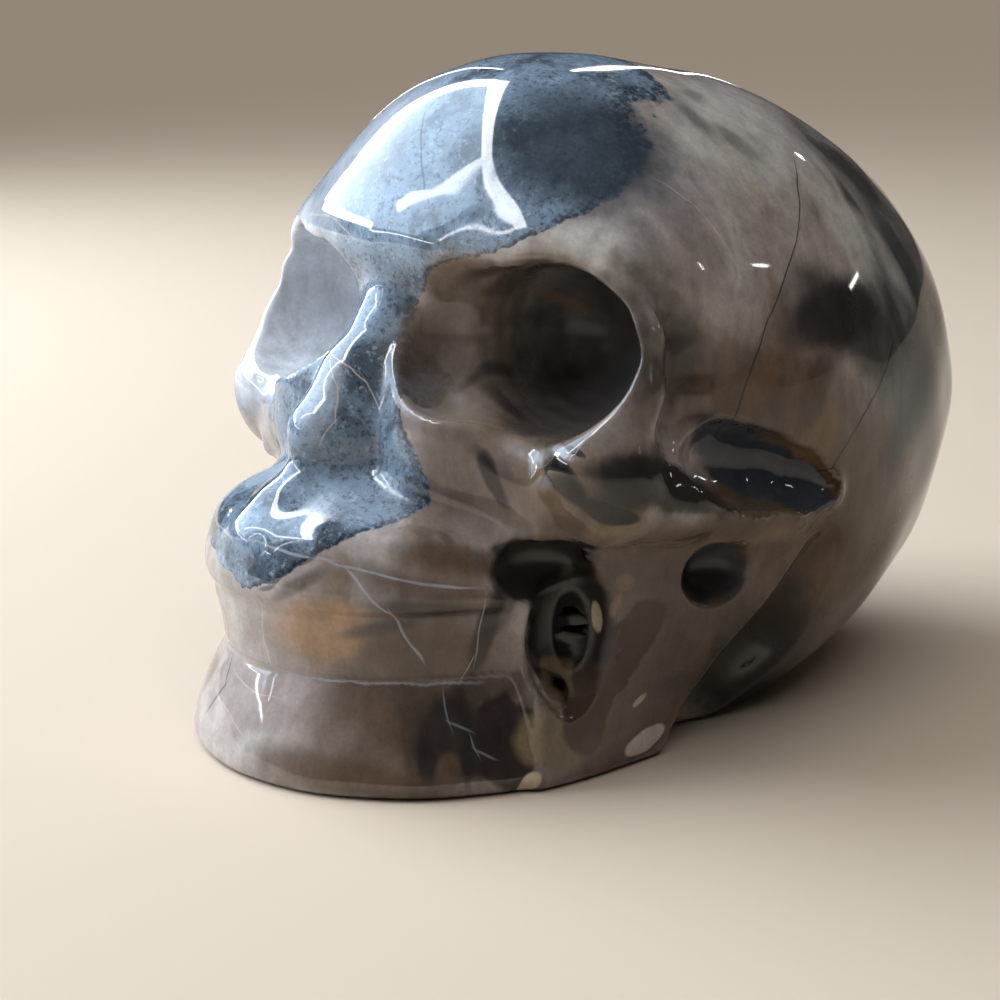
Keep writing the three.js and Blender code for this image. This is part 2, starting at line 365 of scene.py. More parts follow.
@dataclass(frozen=True)
class SkullForm:
    """The whole carving as one field, in millimetres. The face looks along -Y, and x is folded."""

    cranium: Cranium = Cranium()
    brow: Lump = Lump((16.0, -13.5, 50.5), (14.0, 13.0, 8.5), 6.0)
    face_plane: FacePlane = FacePlane()
    orbit_bar: Rod = Rod(
        ((20.0, -19.8, 52.0), (25.3, -19.6, 50.0), (28.2, -20.0, 46.0), (28.7, -21.2, 41.0),
         (28.4, -24.0, 34.0)),
        (3.4, 3.1, 2.8, 3.4, 5.0), 1.3, 2.0,
    )
    cheek_bar: Rod = Rod(
        ((10.0, -27.5, 31.0), (20.0, -25.0, 30.8), (28.0, -23.0, 31.3), (30.0, -16.0, 29.6),
         (31.4, -9.0, 27.7), (32.0, -2.0, 27.1), (32.2, 4.0, 27.6)),
        (5.0, 4.5, 5.0, 3.8, 2.6, 1.9, 1.2), 2.5, 3.0,
    )
    muzzle: Muzzle = Muzzle()
    upper_jaw: Lump = Lump((10.0, -25.0, 35.5), (10.0, 9.7, 12.0), 4.5)
    nose: Rod = Rod(
        ((0.0, -23.8, 52.0), (0.0, -27.6, 45.0), (0.0, -32.6, 39.0), (0.0, -36.0, 34.2)),
        (3.6, 3.5, 3.9, 4.5), 3.0, 2.0,
    )
    nose_spine: Rod = Rod(
        ((0.0, -37.6, 28.6), (0.0, -41.8, 26.3), (0.0, -44.6, 24.2)), (3.2, 3.1, 2.7), 2.5, 1.5,
    )
    ramus: Ramus = Ramus()
    grooves: tuple[Rod, ...] = (
        Rod(((26.0, -6.0, -2.0), (28.5, -0.6, 9.0), (33.0, 4.2, 20.0)), (6.0, 4.9, 2.8), 1.5, 3.0),
        Rod(
            ((25.4, -21.4, 56.0), (27.6, -21.0, 54.6), (29.4, -20.0, 52.6), (30.5, -18.6, 50.8),
             (31.2, -16.8, 48.4), (31.6, -15.6, 46.0), (32.2, -14.4, 42.0), (32.8, -14.6, 38.0),
             (33.4, -15.4, 35.6)),
            (0.7, 0.9, 1.1, 1.4, 1.8, 2.2, 2.6, 2.8, 2.8), 0.5, 0.8,
        ),
        Rod(
            ((33.4, -16.0, 35.2), (33.4, -12.0, 33.4), (33.4, -8.4, 32.1), (33.4, -5.0, 31.2),
             (33.6, 0.0, 29.7), (33.0, 4.4, 28.0)),
            (2.6, 3.9, 3.8, 3.4, 2.6, 0.8), 0.4, 2.0,
        ),
    )
    socket: EyeSocket = EyeSocket()
    pits: tuple[Union[Lump, Rod], ...] = (
        Lump((24.0, -27.2, 22.6), (5.5, 5.2, 3.4), 1.5),
        Lump((26.0, -24.8, 15.0), (6.0, 4.5, 7.6), 1.2),
        Lump((31.5, -9.9, 20.7), (5.0, 4.0, 3.5), 1.0),
        Rod(((23.0, -30.6, 13.0), (23.4, -30.2, 20.0)), (1.3, 1.6), 0.8),
        Lump((24.6, -31.6, 15.8), (3.6, 2.2, 4.6), 0.8),
    )
    remains: tuple[Union[Lump, Rod], ...] = (
        Rod(((25.0, -28.4, 24.7), (24.6, -24.4, 23.9), (25.8, -20.2, 23.4)), (0.9, 0.4, 0.6), 0.8, 0.5),
        Lump((22.1, -22.3, 15.3), (1.6, 1.5, 4.0), 1.0),
        Lump((22.8, -25.4, 10.4), (1.6, 2.0, 3.0), 1.0),
    )
    polish: HandPolish = HandPolish()
    base_edge: float = 1.2
    midline: float = 0.3

    def distance(self, p: Array) -> Array:
        """How far each point is outside the carving.

        Args:
            p: Points in millimetres, one to a row.

        Returns:
            A distance for each point, negative inside.
        """
        folded = p.copy()
        folded[:, 0] = np.hypot(p[:, 0], self.midline)
        form = self.cranium.distance(folded)
        form = soft_min(form, self.brow.distance(folded), self.brow.blend)
        form = soft_max(form, self.face_plane.distance(folded), self.face_plane.rounding(folded))
        for mass in (self.orbit_bar, self.cheek_bar, self.muzzle, self.upper_jaw, self.nose,
                     self.nose_spine):
            form = soft_min(form, mass.distance(folded), mass.blend)
        form = soft_min(form, self.ramus.distance(folded), self.ramus.edge)
        for hollow in (*self.grooves, self.socket, *self.pits):
            form = soft_max(form, -hollow.distance(folded), hollow.blend)
        for piece in self.remains:
            form = soft_min(form, piece.distance(folded), piece.blend)
        form = form - self.polish.height_at(p)
        return soft_max(form, -folded[:, 2], self.base_edge)


@dataclass
class Carving:
    """Draws a closed triangle mesh onto the form and evens its triangles out."""

    form: SkullForm
    triangles: Array
    rounds: int = 8
    coarseness: Pair = (1.0, 1.7)
    coarse_from: Pair = (-26.0, 24.0)
    evenness: int = 4
    last_pulls: int = 3
    reach: float = 0.02
    largest_move: float = 0.6
    flattest: float = 0.45

    def pull(self, points: Array) -> tuple[Array, Array]:
        """Move each point straight onto the surface.

        Args:
            points: Points near the surface, in millimetres.

        Returns:
            The moved points and the unit outward directions there.
        """
        value = self.form.distance(points)
        slope = np.empty_like(points)
        for axis in range(3):
            beside = points.copy()
            beside[:, axis] += self.reach
            slope[:, axis] = (self.form.distance(beside) - value) / self.reach
        steepness = np.maximum(length(slope), TINY)
        outward = slope / steepness[:, None]
        move = np.clip(value / np.maximum(steepness, self.flattest), -self.largest_move, self.largest_move)
        return points - move[:, None] * outward, outward

    def even_out(self, points: Array, outward: Array) -> Array:
        """Move each point along the surface toward the middle of the triangles around it.

        Args:
            points: Points on the surface, in millimetres.
            outward: The surface's direction at each point.

        Returns:
            The moved points.
        """
        corners = points[self.triangles]
        middle = corners.mean(axis=1)
        area = length(np.cross(corners[:, 1] - corners[:, 0], corners[:, 2] - corners[:, 0]))
        coarseness = between(self.coarseness, smooth_step(*self.coarse_from, middle[:, 1]))
        share = area / coarseness**self.evenness
        index = self.triangles.ravel()
        weight = np.bincount(index, np.repeat(share, 3), len(points))
        pulled = [np.bincount(index, np.repeat(share * middle[:, i], 3), len(points)) for i in range(3)]
        move = np.stack(pulled, axis=1) / weight[:, None] - points
        move -= np.einsum("ij,ij->i", move, outward)[:, None] * outward
        return points + move

    def settle(self, points: Array) -> tuple[Array, Array]:
        """Alternate the two moves, and end on the surface.

        Args:
            points: Points near the surface, in millimetres.

        Returns:
            Points on the surface and the unit outward directions there.
        """
        for _ in range(self.rounds):
            points, outward = self.pull(points)
            points = self.even_out(points, outward)
        for _ in range(self.last_pulls):
            points, outward = self.pull(points)
        return points, outward


def linear(code: str) -> tuple[float, float, float, float]:
    """A colour as the shader takes it.

    Args:
        code: The colour as six hexadecimal digits.

    Returns:
        Linear red, green, blue, and full cover.
    """
    shares = [int(code[i:i + 2], 16) / 255.0 for i in (0, 2, 4)]
    red, green, blue = (s / 12.92 if s <= 0.04045 else ((s + 0.055) / 1.055) ** 2.4 for s in shares)
    return (red, green, blue, 1.0)


def radians(degrees: Triple) -> Triple:
    """Three angles as Blender takes them."""
    return tuple(math.radians(angle) for angle in degrees)


class Tint(Enum):
    """The colours in this stone."""

    SLATE = "798DA2"
    SKY = "A2B4C6"
    DEEP_SLATE = "343D47"
    INK = "1B2026"
    MILK_BLUE = "A3ABB8"
    LILAC = "9F9796"
    MAUVE = "62574F"
    PEARL = "BDBCB9"
    ASH = "5E6366"
    SMOKE = "4A4341"
    SOOT = "2A2727"
    # Blue-black stone, made lighter and bluer as a painted sheen of the polish.
    SOOT_BLUE_AND_SHEEN = "333A44"
    BLACK = "171311"
    UMBER = "5D4A39"
    EARTH = "463A31"
    LEAF = "5F4F42"
    TAN = "7D6C58"
    HONEY = "8A6B4C"
    AMBER = "A98A6C"
    PEACH = "B08D6C"
    PLUM = "302A28"
    PLUM_BROWN = "594D44"
    CREAM = "BDB09A"
    CREAM_DARK = "72654F"
    MILK = "9AA0AC"
    OPAL = "C4B9B4"
    FROST = "D3D9E2"

    @property
    def rgba(self) -> tuple[float, float, float, float]:
        """The colour as the shader takes it."""
        return linear(self.value)


Plug = Union["Signal", Number]


class Signal:
    """A number in the shader that adds Math nodes when it is calculated with."""

    def __init__(self, sheet: "NodeSheet", socket: Socket) -> None:
        """Wrap a socket of a node on the given sheet."""
        self.sheet = sheet
        self.socket = socket

    def _math(self, operation: str, *values: Plug) -> "Signal":
        """Add one Math node over these values."""
        return self.sheet.number("ShaderNodeMath", {"operation": operation}, values)

    def __add__(self, other: Plug) -> "Signal":
        """The sum."""
        return self._math("ADD", self, other)

    def __radd__(self, other: Plug) -> "Signal":
        """The sum, with the number first."""
        return self._math("ADD", other, self)

    def __sub__(self, other: Plug) -> "Signal":
        """The difference."""
        return self._math("SUBTRACT", self, other)

    def __rsub__(self, other: Plug) -> "Signal":
        """The difference, with the number first."""
        return self._math("SUBTRACT", other, self)

    def __mul__(self, other: Plug) -> "Signal":
        """The product."""
        return self._math("MULTIPLY", self, other)

    def __rmul__(self, other: Plug) -> "Signal":
        """The product, with the number first."""
        return self._math("MULTIPLY", other, self)

    def __truediv__(self, other: Plug) -> "Signal":
        """The quotient."""
        return self._math("DIVIDE", self, other)

    def __rtruediv__(self, other: Plug) -> "Signal":
        """The quotient, with the number first."""
        return self._math("DIVIDE", other, self)

    def least(self, other: Plug) -> "Signal":
        """The smaller of the two."""
        return self._math("MINIMUM", self, other)

    def most(self, other: Plug) -> "Signal":
        """The larger of the two."""
        return self._math("MAXIMUM", self, other)

    def rise(self, low: Number, high: Number, top: float = 1.0) -> "Signal":
        """Rise smoothly from 0, or fall where low is over high.

        Args:
            low: The value that gives 0.
            high: The value that gives top.
            top: The most it gives.

        Returns:
            A number from 0 to top.
        """
        ends = (low, high, 0.0, top) if low <= high else (high, low, top, 0.0)
        settings = {"interpolation_type": "SMOOTHSTEP"}
        return self.sheet.number("ShaderNodeMapRange", settings, (self, *ends))


class NodeSheet:
    """A material's nodes, added one at a time."""

    def __init__(self, material: bpy.types.Material) -> None:
        """Start with an empty sheet in the material.

        Args:
            material: The material to draw in.
        """
        material.use_nodes = True
        self.tree = material.node_tree
        self.tree.nodes.clear()

    def add(self, kind: str, settings: dict[str, Any],
            inputs: Union[Sequence[Any], dict[str, Any]]) -> bpy.types.Node:
        """Add one node.

        Args:
            kind: The node's type.
            settings: Its properties, set before the sockets.
            inputs: Values or links, in socket order or by socket name; None leaves a socket alone.

        Returns:
            The new node.
        """
        node = self.tree.nodes.new(kind)
        for name, value in settings.items():
            setattr(node, name, value)
        if isinstance(inputs, dict):
            pairs = [(node.inputs[name], value) for name, value in inputs.items()]
        else:
            pairs = list(zip([s for s in node.inputs if s.enabled], inputs))
        for socket, value in pairs:
            if isinstance(value, Signal):
                value = value.socket
            if isinstance(value, Socket):
                self.tree.links.new(value, socket)
            elif value is not None:
                socket.default_value = value
        return node

    def number(self, kind: str, settings: dict[str, Any], inputs: Sequence[Any]) -> Signal:
        """Add one node and give its first output in use as a number."""
        node = self.add(kind, settings, inputs)
        return Signal(self, next(s for s in node.outputs if s.enabled))

    def mix(self, under: Any, over: Any, share: Any, blend: str = "MIX") -> Socket:
        """Lay one colour over another.

        Args:
            under: The colour below.
            over: The colour on top.
            share: How much of the upper one shows.
            blend: How the two combine.

        Returns:
            The mixed colour.
        """
        node = self.add("ShaderNodeMix", {"data_type": "RGBA", "blend_type": blend}, (share, under, over))
        return next(s for s in node.outputs if s.enabled)

    def vector(self, operation: str, *inputs: Any) -> Socket:
        """Add one Vector Math node and give its vector."""
        return self.add("ShaderNodeVectorMath", {"operation": operation}, inputs).outputs["Vector"]

    def scaled(self, vector: Any, amount: Any) -> Socket:
        """A vector times a number."""
        node = self.add("ShaderNodeVectorMath", {"operation": "SCALE"}, {"Vector": vector, "Scale": amount})
        return node.outputs["Vector"]

    def split(self, vector: Any) -> tuple[Signal, Signal, Signal]:
        """The three parts of a vector."""
        node = self.add("ShaderNodeSeparateXYZ", {}, (vector,))
        return tuple(Signal(self, s) for s in node.outputs)

    def noise(self, place: Any, size: float, detail: float = 2.0, roughness: float = 0.5,
              distortion: float = 0.0) -> bpy.types.Node:
        """Add a noise whose lumps are about size millimetres wide.

        Args:
            place: The places, in millimetres.
            size: The width of one lump.
            detail: How many finer layers are added.
            roughness: How strong those are.
            distortion: How far the lumps are pulled about.

        Returns:
            The noise's node.
        """
        inputs = {"Vector": place, "Scale": 1.0 / size, "Detail": detail,
                  "Roughness": roughness, "Distortion": distortion}
        return self.add("ShaderNodeTexNoise", {"noise_dimensions": "3D"}, inputs)

    def stretched(self, place: Any, turn: Triple, scale: Triple) -> Socket:
        """Places turned by degrees and scaled, for a figure that runs one way."""
        inputs = {"Vector": place, "Rotation": radians(turn), "Scale": scale}
        return self.add("ShaderNodeMapping", {}, inputs).outputs["Vector"]

    def stirred(self, place: Any, size: float, amount: float, detail: float = 2.0) -> Socket:
        """Places moved about by up to half of amount, so that what is drawn there runs unevenly.

        Args:
            place: The places, in millimetres.
            size: The width of one swirl.
            amount: How far the places move.
            detail: How many finer swirls are added.

        Returns:
            The moved places.
        """
        swirl = self.noise(place, size, detail).outputs["Color"]
        centred = self.vector("SUBTRACT", swirl, (0.5, 0.5, 0.5))
        return self.vector("ADD", place, self.scaled(centred, amount))


@dataclass(frozen=True)
class Cloud:
    """A drifting unevenness of the stone, about size millimetres wide."""

    size: float
    detail: float
    roughness: float
    distortion: float = 0.0

    def at(self, sheet: NodeSheet, place: Socket) -> Signal:
        """The cloud as a number around a half."""
        noise = sheet.noise(place, self.size, self.detail, self.roughness, self.distortion)
        return Signal(sheet, noise.outputs["Fac"])


@dataclass(frozen=True)
class Wash:
    """A tint that comes up as a cloud goes from one value to another."""

    tint: Tint
    start: float
    full: float
    cover: float

    def over(self, sheet: NodeSheet, colour: Any, cloud: Signal) -> Socket:
        """The colour with the tint laid over it."""
        return sheet.mix(colour, self.tint.rgba, cloud.rise(self.start, self.full) * self.cover)


class Stir(Enum):
    """How far places are moved about, for small, middling and large marks."""

    CALM = ((7.0, 1.0, 2.0), 1.8, 2.0)
    STIRRED = ((3.0, 2.2, 3.0), 3.2, 5.5)
    WILD = ((9.0, 9.0, 3.0), 7.0, math.inf)

    def __init__(self, swirl: Triple, margin: float, under: float) -> None:
        """Name the numbers.

        Args:
            swirl: Width, amount and detail of the swirls that this step adds.
            margin: The furthest that a mark moves, with the steps before.
            under: Marks narrower than this take the step, unless an earlier one fits.
        """
        self.swirl = swirl
        self.margin = margin
        self.under = under

    @classmethod
    def suited(cls, size: float) -> "Stir":
        """The step whose unevenness suits a mark of this size."""
        return next(stir for stir in cls if size < stir.under)


@dataclass(frozen=True)
class Places:
    """The same point of the stone, as it is and moved about, in millimetres."""

    plain: Socket
    calm: Socket
    stirred: Socket
    wild: Socket

    def suited(self, size: float) -> Socket:
        """The places whose unevenness suits a mark of this size."""
        return {Stir.CALM: self.calm, Stir.STIRRED: self.stirred, Stir.WILD: self.wild}[Stir.suited(size)]


@dataclass(frozen=True)
class Patch:
    """A lens of colour in the stone: an ellipsoid with a soft or a sharp edge."""

    tint: Tint
    centre: Triple
    radii: Triple
    turn: Triple = (0.0, 0.0, 0.0)
    cover: float = 1.0
    edge: float = 0.2

    def share(self, sheet: NodeSheet, places: Places) -> Signal:
        """How much of the lens shows at each point.

        Args:
            sheet: The material's nodes.
            places: The stone's coordinates.

        Returns:
            The cover inside the lens, and 0 outside.
        """
        outer = tuple(radius * (1.0 + self.edge) for radius in self.radii)
        place = places.suited(min(self.radii[:2]))
        inputs = {"Vector": place, "Location": self.centre, "Rotation": radians(self.turn), "Scale": outer}
        local = sheet.add("ShaderNodeMapping", {"vector_type": "TEXTURE"}, inputs).outputs["Vector"]
        depth = sheet.add("ShaderNodeTexGradient", {"gradient_type": "SPHERICAL"}, (local,)).outputs["Fac"]
        return Signal(sheet, depth).rise(0.0, 2.0 * self.edge / (1.0 + self.edge), self.cover)

    def cover_on(self, sheet: NodeSheet, places: Places, colour: Socket) -> Socket:
        """Lay the lens over a colour.

        Args:
            sheet: The material's nodes.
            places: The stone's coordinates.
            colour: The colour so far.

        Returns:
            The colour with the lens on it.
        """
        return sheet.mix(colour, self.tint.rgba, self.share(sheet, places))

    def reach(self) -> Array:
        """How far from its centre the lens can show along each axis, in millimetres.

        Returns:
            The reach along x, y and z.
        """
        turn = np.array(Euler(radians(self.turn), "XYZ").to_matrix())
        outer = np.array(self.radii) * (1.0 + self.edge)
        size = min(self.radii[:2])
        return np.sqrt(((turn * outer) ** 2).sum(axis=1)) + Stir.suited(size).margin

    def across(self, shift: Triple) -> "Patch":
        """The lens as it would lie on the other side of the skull.

        Args:
            shift: How far it is moved after that, in millimetres.

        Returns:
            The mirrored and moved lens.
        """
        x, y, z = self.centre
        centre = (shift[0] - x, y + shift[1], z + shift[2])
        return replace(self, centre=centre, turn=(self.turn[0], -self.turn[1], -self.turn[2]))


@dataclass(frozen=True)
class Vein:
    """A thin healed crack: long flat lenses from point to point, on edge in the stone."""

    tint: Tint
    points: tuple[Triple, ...]
    half_width: float = 0.12
    cover: float = 0.8
    depth: float = 6.0
    overlap: float = 1.25
    edge: float = 0.45
    heart: Triple = (0.0, -8.0, 30.0)

    def lenses(self) -> list[Patch]:
        """One thin lens for each stretch.

        Returns:
            The lenses, from the first point on.
        """
        made = []
        for start, end in zip(self.points, self.points[1:]):
            a, b = Vector(start), Vector(end)
            middle = (a + b) / 2.0
            along = (b - a).normalized()
            across = (Vector(self.heart) - middle).cross(along).normalized()
            axes = Matrix((along, across, along.cross(across))).transposed()
            turn = tuple(math.degrees(angle) for angle in axes.to_euler("XYZ"))
            radii = ((b - a).length / 2.0 * self.overlap, self.half_width, self.depth)
            made.append(Patch(self.tint, tuple(middle), radii, turn, self.cover, self.edge))
        return made


# Wide lenses over the cheek, the jaw and the lower back: partly the stone's own mauve and brown, partly
# painted shade that darkens the lower and side parts of the skull.
LOWER_BROWNS_AND_SHADE = (
    Patch(Tint.MAUVE, (24, -29, 33), (13, 10, 10), (0, 0, 0), 0.75, 0.4),
    Patch(Tint.UMBER, (31, -12, 25), (9, 17, 6.5), (15, 0, 0), 0.85, 0.35),
    Patch(Tint.PLUM_BROWN, (28, -16, 12), (8, 15, 15), (0, 0, 0), 0.85, 0.35),
    Patch(Tint.PLUM_BROWN, (18, -39, 10), (11, 13, 12), (0, 0, 0), 0.8, 0.35),
    Patch(Tint.UMBER, (27, 12, 20), (16, 22, 17), (20, 0, 0), 0.85, 0.4),
    Patch(Tint.UMBER, (32.5, 11, 29), (6.1, 7, 8), (95, -55, 95), 0.6, 0.4),
)

DOME = (
    Patch(Tint.PEARL, (19, 3, 65.5), (8, 10.5, 8), (20, 30, 50), 0.8, 0.6),
    Patch(Tint.UMBER, (32, -6, 39), (14.5, 6, 10), (100, 15, 85), 0.85, 0.5),
    Patch(Tint.HONEY, (32, -5.5, 41), (4, 1.6, 6), (80, -55, 85), 0.5, 0.7),
    Patch(Tint.HONEY, (33, 0.5, 38), (3, 1.4, 6), (80, -55, 90), 0.4, 0.7),
    Patch(Tint.SMOKE, (31.5, 5, 46.5), (4.4, 4.1, 8), (40, 70, 45), 0.85, 0.45),
    Patch(Tint.SMOKE, (31.5, 11, 44), (5.5, 4, 8), (65, 55, 80), 0.7, 0.5),
    Patch(Tint.ASH, (29.5, 21, 41.5), (13.5, 12, 12), (25, 75, 50), 0.9, 0.4),
    Patch(Tint.ASH, (22, 22, 57), (12, 4.5, 8), (40, 30, 50), 0.8, 0.5),
    Patch(Tint.SOOT, (29.5, 23.5, 34.5), (7.5, 4.3, 8), (85, 75, 105), 0.6, 0.5),
    Patch(Tint.PEARL, (27.5, 12, 53.5), (8.5, 2.9, 8), (20, 60, 35), 0.7, 0.4),
    Patch(Tint.SOOT, (25.5, 15.5, 55), (5.2, 1.1, 4), (5, 55, 20), 0.8, 0.5),
    Patch(Tint.SOOT, (29.5, 17, 45), (5.2, 1.2, 4), (55, 65, 70), 0.6, 0.5),
    Patch(Tint.SMOKE, (19, -3, 65.5), (2.9, 1.2, 3), (5, 35, 10), 0.6, 0.6),
    Patch(Tint.SMOKE, (15.5, 0, 68), (1.5, 1.2, 3), (30, 0, 95), 0.5, 0.6),
    Patch(Tint.SOOT, (20, -15, 61.5), (3.3, 4.1, 5), (5, 45, 30), 0.8, 0.4),
    Patch(Tint.UMBER, (32, 8.5, 23.5), (18, 6.7, 12), (115, 35, 105), 0.8, 0.5),
    # Partly dark stone, partly painted shade: these dark lenses fill the deep groove between the jaw's
    # branch and the base of the braincase.
    Patch(Tint.SOOT, (23, 0, 9.5), (12.2, 4.1, 10), (85, 35, 115), 0.8, 0.4),
    Patch(Tint.HONEY, (28, 4, 16), (5.7, 1.8, 8), (115, -45, 35), 0.5, 0.6),
    Patch(Tint.PEARL, (24.5, -23, 55), (4.8, 2.7, 6), (60, 25, 15), 0.7, 0.6),
    Patch(Tint.SMOKE, (27, -18, 53), (4.4, 1.6, 3), (-10, 55, 25), 0.6, 0.5),
    # More painted shade in the same groove, over its dark stone.
    Patch(Tint.SOOT, (23, 1, 9.5), (8.8, 11, 12), (135, -50, 55), 0.95, 0.35),
    Patch(Tint.BLACK, (22.5, -0.5, 6.5), (5.5, 8, 10), (130, -45, 70), 0.8, 0.5),
    Patch(Tint.EARTH, (28.5, 4.5, 17), (7.1, 1.9, 6), (125, -60, 25), 0.6, 0.5),
    Patch(Tint.SOOT_BLUE_AND_SHEEN, (30, 20.5, 36), (8.8, 4.2, 6), (80, -55, 115), 0.75, 0.45),
    Patch(Tint.SOOT, (20.5, 20, 59), (6.1, 2.8, 3), (25, 40, 65), 0.75, 0.4),
    Patch(Tint.SOOT, (26, 23, 49.5), (7.1, 2.8, 3), (35, 60, 65), 0.7, 0.4),
    Patch(Tint.PLUM, (31.5, 6, 46), (8.1, 3.1, 6), (70, -5, 95), 0.8, 0.3),
    Patch(Tint.PEARL, (27, 17.5, 51.5), (7.2, 1.7, 3), (45, 50, 75), 0.5, 0.5),
    Patch(Tint.HONEY, (33, 2, 33.5), (4.1, 2, 6), (115, -55, 60), 0.35, 0.6),
    Patch(Tint.SMOKE, (29.5, -12.5, 55), (3.9, 2, 5), (20, 55, 25), 0.3, 0.6),
    Patch(Tint.PEARL, (22.5, -5.5, 63), (5.1, 1.7, 4), (30, 40, 40), 0.5, 0.5),
    Patch(Tint.SMOKE, (21.5, 0.5, 63.5), (3.1, 1.3, 3), (30, 35, 55), 0.5, 0.5),
    Patch(Tint.SOOT, (26.5, 2.5, 14.5), (7.6, 3.4, 4), (-145, -45, -25), 0.6, 0.4),
    Patch(Tint.SOOT, (31.5, 8.5, 46), (8.5, 4, 8), (75, 0, 100), 0.4, 0.4),
    Patch(Tint.SOOT, (31.5, 11, 44), (4, 9.6, 8), (70, -55, 120), 0.5, 0.35),
    Patch(Tint.SOOT, (31, 0.5, 48), (4.8, 2.8, 8), (65, -45, 110), 0.45, 0.4),
    Patch(Tint.SOOT, (33, 1, 38.5), (4.2, 2, 6), (80, -60, 95), 0.5, 0.4),
    Patch(Tint.SMOKE, (32, -6, 38.5), (6.4, 3.7, 6), (170, -80, 0), 0.4, 0.6),
)

CHEEK = (
    Patch(Tint.UMBER, (26.5, -30.5, 31), (7.5, 3.8, 8), (95, -10, 10), 0.55, 0.5),
    Patch(Tint.SOOT, (34.5, -18, 32), (10.4, 2.2, 6), (85, 15, 95), 0.95, 0.25),
    Patch(Tint.SOOT, (34.5, -25, 33), (3.4, 2.9, 6), (90, 10, 85), 0.9, 0.35),
    Patch(Tint.SOOT, (32.5, -3, 28.5), (6.3, 2.8, 6), (35, 20, 80), 0.95, 0.25),
    Patch(Tint.SOOT_BLUE_AND_SHEEN, (30.5, -5, 32), (10.3, 2.6, 5), (75, 30, 80), 0.9, 0.2),
    Patch(Tint.TAN, (32.5, -9, 26), (11.1, 1.9, 6), (115, 5, 85), 0.6, 0.5),
    Patch(Tint.MAUVE, (15.5, -34, 31.5), (3.4, 7.4, 5), (80, -5, 25), 0.8, 0.6),
    Patch(Tint.LEAF, (28, -30.5, 30), (4, 4.1, 5), (110, 25, 10), 0.9, 0.4),
    Patch(Tint.SMOKE, (20.5, -32, 32), (3.9, 0.9, 3), (80, 60, 20), 0.8, 0.3),
    Patch(Tint.SOOT, (20, -31.5, 34), (1.4, 0.5, 3), (55, 50, 5), 0.6, 0.4),
    Patch(Tint.SMOKE, (21.5, -31, 33), (1.5, 0.7, 3), (60, 50, 5), 0.5, 0.5),
    Patch(Tint.SOOT, (29, -30.5, 34), (4.8, 1.1, 3), (70, 35, -5), 0.95, 0.15),
    Patch(Tint.SOOT, (29.5, -29, 36.5), (1.5, 0.4, 2), (55, 10, 5), 0.9, 0.2),
    Patch(Tint.MILK, (23, -29, 35.5), (4.2, 1, 2), (40, 0, 5), 0.6, 0.4),
    Patch(Tint.MILK, (27.5, -29.5, 36.5), (4.8, 0.6, 2), (45, -5, -25), 0.6, 0.3),
    Patch(Tint.SMOKE, (33.5, -28, 32.5), (1.1, 0.8, 2), (90, -65, 55), 0.8, 0.3),
    Patch(Tint.MAUVE, (32.5, -29, 34), (2.1, 2.3, 3), (80, 0, 40), 0.6, 0.5),
    Patch(Tint.CREAM_DARK, (33, -26, 29), (4.5, 2, 3), (125, 25, 90), 0.7, 0.15),
    Patch(Tint.TAN, (31.5, -26, 27), (2.4, 1.5, 3), (150, 0, 65), 0.6, 0.4),
    Patch(Tint.MAUVE, (30, -20.5, 26), (3.2, 1.5, 3), (145, 15, 120), 0.8, 0.2),
    Patch(Tint.SOOT_BLUE_AND_SHEEN, (33.5, -27, 30), (3.5, 1, 3), (115, 20, 75), 0.98, 0.1),
    Patch(Tint.SMOKE, (17, -34.5, 26), (1.2, 0.4, 2), (40, 40, 25), 0.6, 0.5),
    Patch(Tint.SMOKE, (15.5, -36, 26.5), (1, 0.7, 2), (50, 0, 50), 0.4, 0.5),
    # Partly dark stone, partly painted shade: a black lens that fills the pit under the cheekbone.
    Patch(Tint.BLACK, (22.4, -26.2, 22.8), (5.8, 5.6, 3.7), (0, 0, 0), 0.95, 0.12),
    Patch(Tint.UMBER, (32.5, -21.5, 40.5), (3.3, 1.2, 4), (65, -70, 110), 0.6, 0.5),
    Patch(Tint.SMOKE, (19, -34.5, 24.5), (5.6, 1.3, 5), (65, 15, 60), 0.75, 0.5),
    Patch(Tint.SMOKE, (15.5, -41, 23), (3, 1, 4), (75, 20, 40), 0.4, 0.5),
    Patch(Tint.SOOT, (32, -29, 32), (3, 0.9, 4), (90, 25, 40), 0.5, 0.5),
    Patch(Tint.EARTH, (33.5, -26.5, 34.5), (2.5, 1.4, 5), (60, -50, 90), 0.6, 0.5),
    Patch(Tint.SOOT, (20, -31.5, 32), (2.9, 0.9, 4), (85, 65, 10), 0.8, 0.3),
    Patch(Tint.BLACK, (28, -30, 33.5), (4.1, 1.3, 5), (75, 35, -5), 0.9, 0.2),
    Patch(Tint.BLACK, (33, -27, 30), (3, 1.2, 5), (105, 10, 65), 0.9, 0.2),
    Patch(Tint.SOOT, (33.5, -19.5, 32), (10.2, 2.4, 8), (80, 20, 100), 0.92, 0.25),
    Patch(Tint.SOOT, (34, -22.5, 34), (5.6, 2.3, 8), (65, -20, 120), 0.7, 0.4),
    Patch(Tint.EARTH, (33.5, -12, 26.5), (8, 1.7, 5), (120, 0, 85), 0.65, 0.5),
    Patch(Tint.SOOT_BLUE_AND_SHEEN, (29.5, -3.5, 30.5), (9.6, 3.1, 9), (85, 25, 80), 0.92, 0.12),
)

